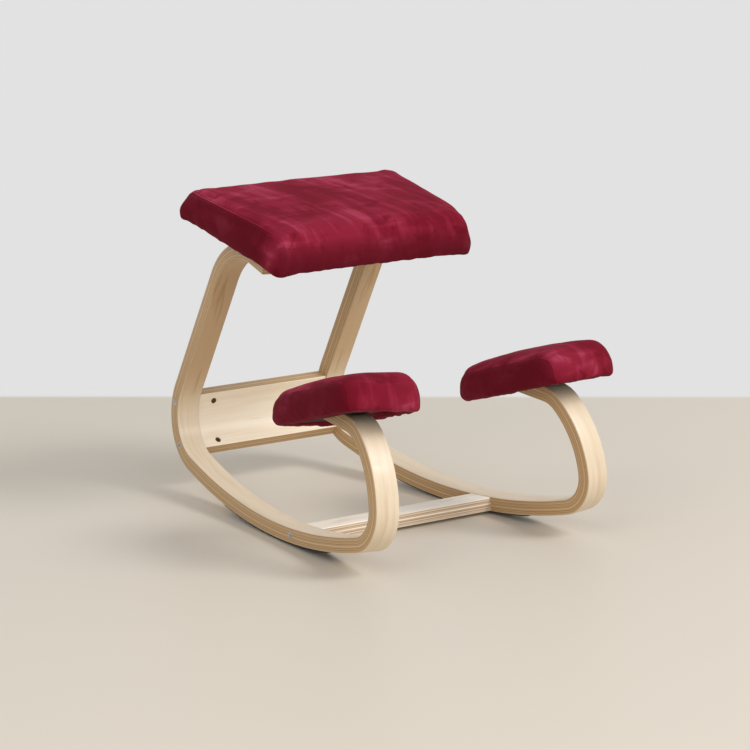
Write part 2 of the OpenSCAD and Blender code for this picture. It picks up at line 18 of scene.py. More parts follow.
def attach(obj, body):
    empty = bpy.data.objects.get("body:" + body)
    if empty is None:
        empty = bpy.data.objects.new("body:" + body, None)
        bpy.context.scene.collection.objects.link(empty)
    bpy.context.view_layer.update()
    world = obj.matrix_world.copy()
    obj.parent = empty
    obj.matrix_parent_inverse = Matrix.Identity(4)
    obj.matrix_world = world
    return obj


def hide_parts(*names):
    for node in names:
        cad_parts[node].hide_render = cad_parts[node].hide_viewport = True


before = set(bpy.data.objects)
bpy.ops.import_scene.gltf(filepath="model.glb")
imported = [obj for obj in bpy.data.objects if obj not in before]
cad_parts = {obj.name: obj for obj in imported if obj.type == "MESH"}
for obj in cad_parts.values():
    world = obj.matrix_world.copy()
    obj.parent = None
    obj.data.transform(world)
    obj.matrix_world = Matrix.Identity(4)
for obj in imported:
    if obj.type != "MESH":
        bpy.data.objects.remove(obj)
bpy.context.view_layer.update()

log = logging.getLogger("kneeling_chair")

Colour = tuple[float, float, float, float]
MERGE_DISTANCE = 1e-6


def srgb(red: int, green: int, blue: int) -> Colour:
    """Turns a colour as a picture writes it into the linear values that a shader takes.

    Args:
        red: Red from 0 to 255.
        green: Green from 0 to 255.
        blue: Blue from 0 to 255.

    Returns:
        The linear colour, opaque.
    """
    linear = []
    for value in (red, green, blue):
        share = value / 255
        linear.append(share / 12.92 if share <= 0.04045 else ((share + 0.055) / 1.055) ** 2.4)
    return linear[0], linear[1], linear[2], 1.0


class Side(Enum):
    """The sitter's right and left, as the sign of X."""

    RIGHT = -1
    LEFT = 1

    def named(self, piece: str) -> str:
        """Puts the side's name before a piece's name."""
        return f"{self.name.lower()}_{piece}"


# Frames of the chair

@dataclass(frozen=True)
class Layout:
    """Where the runners, the seat and the knee cushions stand in the chair's frame. Angles are degrees."""

    track: float = 0.3885
    splay: float = 4.6
    lean: float = 3.0
    contact_y: float = -0.0253
    strip_thickness: float = 0.002
    strip_width: float = 0.038
    seat_y: float = 0.114
    seat_z: float = 0.4805
    seat_tilt: float = 14.0
    knee_s: float = 0.188
    knee_z: float = 0.2465
    knee_tilt: float = 17.0

    @property
    def lift(self) -> float:
        """Height of a runner's frame over the floor, with the strip's lowest edge on the floor."""
        lean = math.radians(self.lean)
        return self.strip_thickness * math.cos(lean) + self.strip_width / 2 * math.sin(lean)

    def runner(self, side: Side) -> Matrix:
        """Gives a runner's frame: X outward, Y to the rear and Z up along its plane.

        Args:
            side: The runner's side.

        Returns:
            The frame's place in the chair.
        """
        mirror = Matrix.Diagonal((side.value, 1, 1, 1))
        place = Matrix.Translation((self.track / 2, self.contact_y, self.lift))
        splay = Matrix.Rotation(math.radians(self.splay), 4, "Z")
        return mirror @ place @ splay @ Matrix.Rotation(math.radians(-self.lean), 4, "Y")

    def seat(self) -> Matrix:
        """Gives the seat's frame, with Z = 0 on its board's underside."""
        tilt = Matrix.Rotation(math.radians(self.seat_tilt), 4, "X")
        return Matrix.Translation((0, self.seat_y, self.seat_z)) @ tilt

    def knee(self, side: Side) -> Matrix:
        """Gives a knee cushion's frame, with Z = 0 on its board's underside.

        Args:
            side: The cushion's side.

        Returns:
            The frame's place in the chair.
        """
        height = (self.knee_z - self.lift) / math.cos(math.radians(self.lean))
        place = Matrix.Translation((0, -self.knee_s, height))
        return self.runner(side) @ place @ Matrix.Rotation(math.radians(-self.knee_tilt), 4, "X")


LAYOUT = Layout()


# Shader nodes

class Signal:
    """An output in a shader tree that can be added, scaled and compared like a number."""

    def __init__(self, sheet: "NodeSheet", socket: bpy.types.NodeSocket) -> None:
        """Keeps the output and the sheet that it belongs to."""
        self.sheet = sheet
        self.socket = socket

    def __add__(self, other: object) -> "Signal":
        """Gives the sum."""
        return self.sheet.maths("ADD", self, other)

    def __sub__(self, other: object) -> "Signal":
        """Gives the difference."""
        return self.sheet.maths("SUBTRACT", self, other)

    def __mul__(self, other: object) -> "Signal":
        """Gives the product."""
        return self.sheet.maths("MULTIPLY", self, other)

    def __truediv__(self, other: object) -> "Signal":
        """Gives the quotient."""
        return self.sheet.maths("DIVIDE", self, other)

    def __mod__(self, other: object) -> "Signal":
        """Gives the remainder."""
        return self.sheet.maths("MODULO", self, other)

    def __gt__(self, other: object) -> "Signal":
        """Gives 1 where this is more than the other, else 0."""
        return self.sheet.maths("GREATER_THAN", self, other)

    def __lt__(self, other: object) -> "Signal":
        """Gives 1 where this is less than the other, else 0."""
        return self.sheet.maths("LESS_THAN", self, other)

    def floor(self) -> "Signal":
        """Gives the whole number below."""
        return self.sheet.maths("FLOOR", self)

    def fade(self, low: float, high: float, to_low: float = 0.0, to_high: float = 1.0) -> "Signal":
        """Maps the value smoothly from one range to another.

        Args:
            low: Where the range starts.
            high: Where the range ends.
            to_low: The result at the start.
            to_high: The result at the end.

        Returns:
            The mapped value.
        """
        inputs = {"Value": self, "From Min": low, "From Max": high, "To Min": to_low, "To Max": to_high}
        return self.sheet.read("ShaderNodeMapRange", "Result", inputs, interpolation_type="SMOOTHSTEP")

    def stretched(self, x: float, y: float, z: float) -> "Signal":
        """Scales coordinates by another number along each axis."""
        return self.sheet.read("ShaderNodeVectorMath", 0, {0: self, 1: (x, y, z)}, operation="MULTIPLY")

    def random(self) -> "Signal":
        """Gives a number from 0 to 1 that is another one for every value."""
        return self.sheet.read("ShaderNodeTexWhiteNoise", "Value", {"W": self}, noise_dimensions="1D")

    def noise(
        self, scale: object = 1.0, detail: float = 3.0, roughness: float = 0.5, warp: float = 0.0
    ) -> "Signal":
        """Reads a noise texture at these coordinates.

        Args:
            scale: The texture's scale.
            detail: How many finer layers it has.
            roughness: How strong the finer layers are.
            warp: How much it is distorted.

        Returns:
            The noise's value, about 0.5 on average.
        """
        inputs = {"Vector": self, "Scale": scale, "Detail": detail, "Roughness": roughness}
        inputs["Distortion"] = warp
        return self.sheet.read("ShaderNodeTexNoise", "Fac", inputs)

    def bump(self, strength: float, distance: float) -> "Signal":
        """Turns a height into a normal."""
        inputs = {"Height": self, "Strength": strength, "Distance": distance}
        return self.sheet.read("ShaderNodeBump", "Normal", inputs)


class NodeSheet:
    """Adds nodes to a shader tree and joins them."""

    def __init__(self, tree: bpy.types.NodeTree) -> None:
        """Keeps the tree that the nodes go into."""
        self.tree = tree

    def fill(self, node: bpy.types.Node, inputs: dict) -> None:
        """Joins a node's inputs to signals, or sets their values.

        Args:
            node: The node.
            inputs: A signal, a number, a vector or a colour for each input, by name or by index.
        """
        for name, value in inputs.items():
            if isinstance(value, Signal):
                self.tree.links.new(value.socket, node.inputs[name])
            else:
                node.inputs[name].default_value = value

    def node(self, kind: str, inputs: dict, **settings: object) -> bpy.types.Node:
        """Adds a node.

        Args:
            kind: The node's type.
            inputs: Its inputs, by name or by index.
            **settings: Its properties.

        Returns:
            The new node.
        """
        made = self.tree.nodes.new(kind)
        for name, value in settings.items():
            setattr(made, name, value)
        self.fill(made, inputs)
        return made

    def read(self, kind: str, output: str | int, inputs: dict, **settings: object) -> Signal:
        """Adds a node and gives one of its outputs."""
        return Signal(self, self.node(kind, inputs, **settings).outputs[output])

    def maths(self, operation: str, first: object, second: object = 0.0, clamp: bool = False) -> Signal:
        """Adds a sum of two values and gives its result."""
        return self.read("ShaderNodeMath", 0, {0: first, 1: second}, operation=operation, use_clamp=clamp)

    def mix(self, share: object, base: object, other: object) -> Signal:
        """Mixes two colours and gives the result."""
        return self.read("ShaderNodeMix", 2, {0: share, 6: base, 7: other}, data_type="RGBA")

    def place(self) -> Signal:
        """Gives the coordinates of the object's own frame."""
        return self.read("ShaderNodeTexCoord", "Object", {})

    def attribute(self, name: str, output: str = "Fac") -> Signal:
        """Reads what the mesh stores for its points."""
        return self.read("ShaderNodeAttribute", output, {}, attribute_name=name)

    def effect(self, effect: "SharedEffect", *inputs: object) -> dict[str, Signal]:
        """Places a shared effect with its own inputs and gives its results by name."""
        node = self.node("ShaderNodeGroup", dict(enumerate(inputs)), node_tree=effect_group(effect))
        return {socket.name: Signal(self, socket) for socket in node.outputs}


class SharedEffect(Enum):
    """Effects that several finishes use, by the names of their node groups."""

    WOOD_FIGURE = "wood_figure"
    WEAR = "wear"


def effect_group(effect: SharedEffect) -> bpy.types.NodeTree:
    """Gives an effect's node group, and builds it the first time.

    Args:
        effect: Which effect it is.

    Returns:
        The node group, with its coordinates as its first input.
    """
    known = bpy.data.node_groups.get(effect.value)
    if known:
        return known
    tree = bpy.data.node_groups.new(effect.value, "ShaderNodeTree")
    draw: Callable[..., dict[str, Signal]] = wood_figure if effect is SharedEffect.WOOD_FIGURE else wear
    numbers = ("Thickness", "Ply") if effect is SharedEffect.WOOD_FIGURE else ("Scale",)
    face = tree.interface
    face.new_socket(name="Place", in_out="INPUT", socket_type="NodeSocketVector")
    for name in numbers:
        face.new_socket(name=name, in_out="INPUT", socket_type="NodeSocketFloat")
    sheet = NodeSheet(tree)
    given = sheet.node("NodeGroupInput", {})
    results = draw(*(Signal(sheet, given.outputs[name]) for name in ("Place", *numbers)))
    for name in results:
        face.new_socket(name=name, in_out="OUTPUT", socket_type="NodeSocketFloat")
    sheet.node("NodeGroupOutput", results)
    return tree


def wood_figure(grain: Signal, thickness: Signal, ply: Signal) -> dict[str, Signal]:
    """Draws veneer figure, plies, glue lines and pores.

    Args:
        grain: How far a place lies along the grain, through the plies and across the face.
        thickness: The thickness of the whole lamination.
        ply: The thickness of one ply.

    Returns:
        The effect's results.
    """
    sheet = grain.sheet
    parts = sheet.node("ShaderNodeSeparateXYZ", {0: grain})
    through, beside = (Signal(sheet, parts.outputs[i]) for i in (1, 2))

    # Plies, counted from the inner face, with lines that wander a little
    wander = 0.0009
    margin = 0.02
    half_ply = 0.5
    sway = grain.stretched(9.0, 0.0, 30.0).noise(detail=2.0)
    depth = (through + (sway - 0.5) * wander + thickness * 0.5) / ply
    count = thickness / ply
    index = sheet.maths("MAXIMUM", sheet.maths("MINIMUM", depth, count - margin), margin).floor()
    near_line = sheet.maths("ABSOLUTE", depth - index - half_ply) * 2.0
    line_depth = (depth + half_ply).floor().random().fade(0.45, 0.72, 0.12, 0.80)
    inside = (depth > half_ply) * (depth < count - half_ply)
    tone = index.random() * 0.35 + index % 2.0 * 0.45 + 0.05

    # Figure of the veneer
    slow = grain.stretched(6.5, 0.0, 75.0).noise(roughness=0.55, warp=0.3)
    bend = grain.stretched(2.2, 60.0, 26.0).noise(detail=2.0)
    rings = sheet.maths("SINE", bend * 26.0 + beside * 210.0)
    return {
        "Figure": grain.stretched(5.0, 420.0, 170.0).noise(detail=5.0, roughness=0.6, warp=0.25),
        "Vein": slow.fade(0.56, 0.72),
        "Ring": rings * 0.5 + 0.5,
        "Tone": tone * inside,
        "Glue": near_line.fade(0.52, 0.95) * line_depth * inside,
        "Pores": grain.stretched(60.0, 1500.0, 1400.0).noise(detail=2.0, roughness=0.6),
    }


def wear(place: Signal, scale: Signal) -> dict[str, Signal]:
    """Draws the soft smudges and the fine speckle of handled surfaces.

    Args:
        place: The piece's coordinates.
        scale: The scale of the smudges.

    Returns:
        The effect's results.
    """
    return {
        "Smudge": place.noise(scale, 4.0, 0.55, 0.4),
        "Speckle": place.noise(scale * 40.0, 2.0, 0.6),
    }


def new_material(name: str) -> tuple[bpy.types.Material, NodeSheet, bpy.types.Node]:
    """Starts a material.

    Args:
        name: The material's name.

    Returns:
        The material, its sheet of nodes and its Principled shader.
    """
    material = bpy.data.materials.new(name)
    material.use_nodes = True
    return material, NodeSheet(material.node_tree), material.node_tree.nodes["Principled BSDF"]


# Finishes

@dataclass(frozen=True)
class Birch:
    """Clear-lacquered birch laminate, with its plies on the edges and its veneer on the faces."""

    name: str
    thickness: float
    plies: int
    own_grain: bool = True
    pale: Colour = srgb(227, 209, 182)
    streak: Colour = srgb(209, 183, 146)
    vein: Colour = srgb(168, 124, 76)
    edge_pale: Colour = srgb(217, 186, 141)
    edge_dark: Colour = srgb(184, 144, 94)
    glue: Colour = srgb(96, 62, 32)
    vein_share: float = 0.16
    streak_share: float = 0.24
    ring_share: float = 0.14
    heart_share: float = 0.7
    heart_vein_share: float = 0.5
    pore_share: float = 0.22
    gloss: float = 0.38
    smudge_scale: float = 22.0

    def colour(self, sheet: NodeSheet, wood: dict[str, Signal], pores: Signal) -> Signal:
        """Mixes the colours of face, plies, glue lines and pores.

        Args:
            sheet: The material's nodes.
            wood: The results of the wood figure.
            pores: How dark the pores are.

        Returns:
            The wood's colour.
        """
        streaks = wood["Figure"].fade(0.36, 0.70)
        uneven = sheet.maths("ADD", streaks * self.streak_share, wood["Ring"] * self.ring_share, True)
        # Painted shade: the leg and top bend under the seat are mixed towards a browner, darker colour,
        # partly the wood's own tone and partly painted shade.
        heart = sheet.attribute("heart")
        even_face = sheet.mix(uneven, self.pale, self.streak)
        face = sheet.mix(heart * self.heart_share, even_face, self.edge_dark)
        veins = wood["Vein"] * (heart * self.heart_vein_share + self.vein_share)
        edge = sheet.mix(wood["Tone"], self.edge_pale, self.edge_dark)
        plies = sheet.mix(streaks * 0.30, edge, self.edge_dark)
        body = sheet.mix(wood["Tone"] > 0.0, sheet.mix(veins, face, self.vein), plies)
        return sheet.mix(pores * self.pore_share, sheet.mix(wood["Glue"], body, self.glue), self.edge_dark)

    def build(self) -> bpy.types.Material:
        """Makes the material.

        Returns:
            The finished material.
        """
        material, sheet, shader = new_material(self.name)
        grain = sheet.attribute("grain", "Vector") if self.own_grain else sheet.place()
        wood = sheet.effect(SharedEffect.WOOD_FIGURE, grain, self.thickness, self.thickness / self.plies)
        pores = wood["Pores"].fade(0.64, 0.78)
        smudge = sheet.effect(SharedEffect.WEAR, sheet.place(), self.smudge_scale)["Smudge"]
        sheet.fill(shader, {
            "Base Color": self.colour(sheet, wood, pores),
            "Roughness": smudge.fade(0.3, 0.7, self.gloss - 0.05, self.gloss + 0.09) + pores * 0.15,
            "Coat Weight": 0.12,
            "Coat Roughness": 0.22,
            "Normal": (wood["Figure"] * 0.5 - pores * 0.5).bump(0.2, 0.0001),
        })
        return material


@dataclass(frozen=True)
class Velour:
    """Brushed velour with soft strokes, finger marks and a faint sheen, with painted shade on its side band
    and at the foot of the front, and a painted highlight and painted shade along the seam.
    """

    name: str = "burgundy_velour"
    deep: Colour = srgb(110, 15, 33)
    plain: Colour = srgb(134, 28, 50)
    brushed: Colour = srgb(169, 61, 87)
    shaded: Colour = srgb(88, 9, 22)
    sheen_tint: Colour = srgb(222, 96, 126)
    band_shade_share: float = 0.74
    sweep: float = -14.0
    fibre_scale: float = 1500.0

    def nap(self, sheet: NodeSheet, place: Signal) -> Signal:
        """Draws how the pile lies: broad patches, strokes of the hand and small marks.

        Args:
            sheet: The material's nodes.
            place: The cloth's coordinates.

        Returns:
            0 where the pile looks dark, 1 where it looks pale.
        """
        turn = {"Vector": place, "Rotation": (0.0, 0.0, math.radians(self.sweep))}
        turned = sheet.read("ShaderNodeMapping", 0, turn)
        patches = place.noise(7.0, warp=0.4).fade(0.34, 0.66)
        swept = turned.stretched(42.0, 6.0, 16.0).noise(roughness=0.55, warp=0.4).fade(0.42, 0.66)
        crossed = place.stretched(9.0, 40.0, 40.0).noise(warp=0.6).fade(0.48, 0.68)
        marks = place.noise(30.0, 2.0, warp=0.7).fade(0.57, 0.70)
        base = patches * 0.44 + (swept * 0.34 + crossed * 0.22)
        return sheet.maths("SUBTRACT", base, marks * 0.26, True)

    def build(self) -> bpy.types.Material:
        """Makes the material.

        Returns:
            The finished material.
        """
        material, sheet, shader = new_material(self.name)
        place = sheet.attribute("lay", "Vector")
        seam = sheet.attribute("seam")
        nap = self.nap(sheet, place)
        low = sheet.mix(nap.fade(0.0, 0.5), self.deep, self.plain)
        colour = sheet.mix(nap.fade(0.4, 1.0), low, self.brushed)
        # Painted shade: the seat's front darkens towards its foot.
        front_shaded = sheet.mix(sheet.attribute("fall"), colour, self.shaded)
        # Painted shade: the side band is darker, partly its own nap and partly painted shade.
        banded = sheet.mix(sheet.attribute("band") * self.band_shade_share, front_shaded, self.shaded)
        fibre = place.noise(self.fibre_scale, roughness=0.7)
        fibred = sheet.mix(fibre.fade(0.3, 0.7, 0.0, 0.18), banded, self.deep)
        # Painted shade in the seam's groove, and below it a painted highlight on its ridge.
        groove_shaded = sheet.mix(seam.fade(-0.8, -0.1, 0.5, 0.0), fibred, self.deep)
        sheet.fill(shader, {
            "Base Color": sheet.mix(seam.fade(0.25, 1.0, 0.0, 0.35), groove_shaded, self.brushed),
            "Roughness": nap.fade(0.0, 1.0, 0.95, 0.80),
            "Specular IOR Level": 0.1,
            "Sheen Weight": 0.1,
            "Sheen Roughness": 0.5,
            "Sheen Tint": self.sheen_tint,
            "Normal": (fibre * 0.35 + nap).bump(0.35, 0.0006),
        })
        return material


@dataclass(frozen=True)
class Steel:
    """Plated steel with a fine satin finish."""

    name: str = "plated_steel"
    bright: Colour = srgb(224, 225, 227)
    dull: Colour = srgb(160, 162, 166)
    smudge_scale: float = 160.0

    def build(self) -> bpy.types.Material:
        """Makes the material.

        Returns:
            The finished material.
        """
        material, sheet, shader = new_material(self.name)
        worn = sheet.effect(SharedEffect.WEAR, sheet.place(), self.smudge_scale)
        sheet.fill(shader, {
            "Base Color": sheet.mix(worn["Smudge"].fade(0.35, 0.7), self.bright, self.dull),
            "Metallic": 1.0,
            "Roughness": worn["Speckle"].fade(0.3, 0.7, 0.24, 0.42),
            "Normal": worn["Speckle"].bump(0.1, 0.0001),
        })
        return material


@dataclass(frozen=True)
class Matt:
    """A dull fibrous surface, felt or dust cloth, with a pattern of pressed dots if it has any."""

    name: str
    light: Colour
    dark: Colour
    smudge_scale: float
    dot_scale: float = 0.0
    dot_share: float = 0.6
    depth: float = 0.0004

    def build(self) -> bpy.types.Material:
        """Makes the material.

        Returns:
            The finished material.
        """
        material, sheet, shader = new_material(self.name)
        place = sheet.place()
        worn = sheet.effect(SharedEffect.WEAR, place, self.smudge_scale)
        colour = sheet.mix(worn["Smudge"].fade(0.3, 0.7), self.light, self.dark)
        height = worn["Speckle"]
        if self.dot_scale:
            dots = {"Vector": place, "Scale": self.dot_scale, "Randomness": 0.15}
            mark = sheet.read("ShaderNodeTexVoronoi", "Distance", dots).fade(0.12, 0.32, 1.0, 0.0)
            colour = sheet.mix(mark * self.dot_share, colour, self.dark)
            height = height - mark
        sheet.fill(shader, {
            "Base Color": sheet.mix(worn["Speckle"].fade(0.4, 0.7, 0.0, 0.5), colour, self.dark),
            "Roughness": worn["Smudge"].fade(0.3, 0.7, 0.82, 0.95),
            "Normal": height.bump(0.5, self.depth),
        })
        return material


# Mesh helpers

def to_object(name: str, bm: bmesh.types.BMesh) -> bpy.types.Object:
    """Turns a bmesh into an object at the origin and frees it.

    Args:
        name: The object's name.
        bm: The finished bmesh.

    Returns:
        The new object.
    """
    mesh = bpy.data.meshes.new(name)
    bm.to_mesh(mesh)
    bm.free()
    made = bpy.data.objects.new(name, mesh)
    bpy.context.scene.collection.objects.link(made)
    return made


def apply_modifiers(piece: bpy.types.Object) -> None:
    """Writes an object's modifiers into its mesh.

    Args:
        piece: The object.
    """
    graph = bpy.context.evaluated_depsgraph_get()
    evaluated = piece.evaluated_get(graph)
    old = piece.data
    piece.data = bpy.data.meshes.new_from_object(evaluated, preserve_all_data_layers=True, depsgraph=graph)
    piece.data.name = piece.name
    piece.modifiers.clear()
    bpy.data.meshes.remove(old)


def recalculated(mesh: bpy.types.Mesh) -> None:
    """Merges a mesh's doubles and points all its faces outwards.

    Args:
        mesh: The mesh.
    """
    bm = bmesh.new()
    bm.from_mesh(mesh)
    bmesh.ops.remove_doubles(bm, verts=bm.verts, dist=MERGE_DISTANCE)
    bmesh.ops.recalc_face_normals(bm, faces=bm.faces)
    bm.to_mesh(mesh)
    bm.free()


def read_rows(items: bpy.types.bpy_prop_collection, key: str) -> np.ndarray:
    """Reads a vector of every item as rows of an array.

    Args:
        items: A mesh's vertices, their normals or the data of an attribute.
        key: The name of the vector in an item.

    Returns:
        One row for each item.
    """
    flat = np.empty(len(items) * 3, dtype=np.float32)
    items.foreach_get(key, flat)
    return flat.reshape(-1, 3).astype(float)


def points_of(mesh: bpy.types.Mesh) -> np.ndarray:
    """Gives a mesh's points as rows of an array."""
    return read_rows(mesh.vertices, "co")


def set_points(mesh: bpy.types.Mesh, points: np.ndarray) -> None:
    """Moves a mesh's points to the rows of an array."""
    mesh.vertices.foreach_set("co", points.astype(np.float32).ravel())
    mesh.update()


def store(mesh: bpy.types.Mesh, name: str, rows: np.ndarray) -> None:
    """Stores one number or one vector for every point of a mesh.

    Args:
        mesh: The mesh.
        name: The name of the new attribute.
        rows: A number or a row of three numbers for each point.
    """
    kind, key = ("FLOAT_VECTOR", "vector") if rows.ndim == 2 else ("FLOAT", "value")
    layer = mesh.attributes.new(name, kind, "POINT")
    layer.data.foreach_set(key, rows.astype(np.float32).ravel())


def waves(points: np.ndarray, scale: float, shift: float) -> np.ndarray:
    """Gives smooth noise at each point.

    Args:
        points: The places, one a row.
        scale: Waves per metre, about.
        shift: An offset that gives another pattern.

    Returns:
        One value from about -1 to 1 for every place.
    """
    return np.array([noise.noise(Vector(p) * scale + Vector((shift, shift, shift))) for p in points])


def smooth_step(values: np.ndarray, low: float, high: float) -> np.ndarray:
    """Maps values smoothly to 0 below one limit and to 1 above another."""
    share = np.clip((values - low) / (high - low), 0, 1)
    return share * share * (3 - 2 * share)


def finished(
    piece: bpy.types.Object, finish: bpy.types.Material, slot: str, *nodes: str
) -> bpy.types.Object:
    """Gives a piece its material and lets it stand for its nodes.

    Args:
        piece: The piece, with its place in its mesh.
        finish: Its material.
        slot: Not used.
        *nodes: The nodes that it replaces.

    Returns:
        The piece.
    """
    piece.data.materials.append(finish)
    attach(piece, "root")
    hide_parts(*nodes)
    log.info("built %s, %d faces", piece.name, len(piece.data.polygons))
    return piece


@dataclass(frozen=True)
class Hole:
    """A round blind hole, from its mouth to the middle of its floor."""

    mouth: Vector
    inner: Vector
    diameter: float
    overrun: float = 0.004
    segments: int = 40

    def add_to(self, bm: bmesh.types.BMesh) -> None:
        """Adds the hole's body to a bmesh of cutters.

        Args:
            bm: The cutters.
        """
        direction = (self.inner - self.mouth).normalized()
        depth = (self.inner - self.mouth).length
        turn = direction.to_track_quat("Z", "Y").to_matrix().to_4x4()
        middle = self.mouth + direction * (depth - self.overrun) / 2
        radius = self.diameter / 2
        place = Matrix.Translation(middle) @ turn
        bmesh.ops.create_cone(bm, cap_ends=True, cap_tris=False, segments=self.segments, radius1=radius,
                              radius2=radius, depth=depth + self.overrun, matrix=place)


def bored(piece: bpy.types.Object, holes: list[Hole]) -> None:
    """Cuts round holes into a piece.

    Args:
        piece: The piece that is cut.
        holes: The holes, in the piece's own frame.
    """
    bm = bmesh.new()
    for hole in holes:
        hole.add_to(bm)
    cutter = to_object("cutter", bm)
    cut = piece.modifiers.new("holes", "BOOLEAN")
    cut.operation = "DIFFERENCE"
    cut.solver = "EXACT"
    cut.object = cutter
    apply_modifiers(piece)
    mesh = cutter.data
    bpy.data.objects.remove(cutter)
    bpy.data.meshes.remove(mesh)


# Bent laminations

Edges = list[bmesh.types.BMEdge]


def along(heading: float) -> Vector:
    """Gives the direction of a heading in degrees, from the rear and up, in a plane square to X."""
    angle = math.radians(heading)
    return Vector((0, math.cos(angle), math.sin(angle)))


def across(heading: float) -> Vector:
    """Gives the direction to the left of a heading, in a plane square to X."""
    angle = math.radians(heading)
    return Vector((0, -math.sin(angle), math.cos(angle)))


def edges_in(geometry: list) -> Edges:
    """Picks the edges out of what a mesh operator gives."""
    return [g for g in geometry if isinstance(g, bmesh.types.BMEdge)]


@dataclass(frozen=True)
class Bend:
    """An arc of a lamination's middle line. It turns left, from its heading."""

    radius: float
    turn: float
    steps: int = 1

    @property
    def length(self) -> float:
        """Length along the middle line."""
        return math.radians(self.turn) * self.radius

    def centre(self, start: Vector, heading: float) -> Vector:
        """Gives the centre of the arc that starts at a point with a heading."""
        return start + self.radius * across(heading)

    def at(self, start: Vector, heading: float, share: float) -> Vector:
        """Gives the point that lies at a share of the way."""
        return self.centre(start, heading) - self.radius * across(heading + self.turn * share)

    def grow(self, bm: bmesh.types.BMesh, edges: Edges, start: Vector, heading: float) -> Edges:
        """Spins a section round the arc.

        Args:
            bm: The bmesh that the section is in.
            edges: The section.
            start: Where the arc starts.
            heading: Its heading there.

        Returns:
            The section at the arc's end.
        """
        corners = list(dict.fromkeys(v for e in edges for v in e.verts))
        grown = bmesh.ops.spin(bm, geom=corners + edges, cent=self.centre(start, heading), axis=(1, 0, 0),
                               angle=math.radians(self.turn), steps=self.steps, use_duplicate=False)
        return edges_in(grown["geom_last"])


@dataclass(frozen=True)
class Straight:
    """A straight stretch of a lamination's middle line."""

    length: float
    steps: int
    turn: float = 0.0

    def at(self, start: Vector, heading: float, share: float) -> Vector:
        """Gives the point that lies at a share of the way."""
        return start + along(heading) * self.length * share

    def grow(self, bm: bmesh.types.BMesh, edges: Edges, start: Vector, heading: float) -> Edges:
        """Draws a section out along the stretch.

        Args:
            bm: The bmesh that the section is in.
            edges: The section.
            start: Where the stretch starts.
            heading: Its heading.

        Returns:
            The section at the stretch's end.
        """
        step = (self.at(start, heading, 1.0) - start) / self.steps
        for _ in range(self.steps):
            grown = bmesh.ops.extrude_edge_only(bm, edges=edges)["geom"]
            edges = edges_in(grown)
            corners = [g for g in grown if isinstance(g, bmesh.types.BMVert)]
            bmesh.ops.translate(bm, verts=corners, vec=step)
        return edges


@dataclass(frozen=True)
class Cut:
    """A plane that a lamination is cut off at, within some reach.

    What lies on the side of its normal goes.
    """

    point: Vector
    normal: Vector
    reach: float = math.inf

    @classmethod
    def square_to(cls, place: Matrix, point: Vector, axis: Vector, reach: float = math.inf) -> "Cut":
        """Makes a cut from a point and an axis of some frame.

        Args:
            place: The frame.
            point: A point of the plane in it.
            axis: The plane's normal in it.
            reach: How far from the point the wood is cut.

        Returns:
            The cut, outside that frame.
        """
        on_plane = place @ point
        return cls(on_plane, (place @ (point + axis) - on_plane).normalized(), reach)


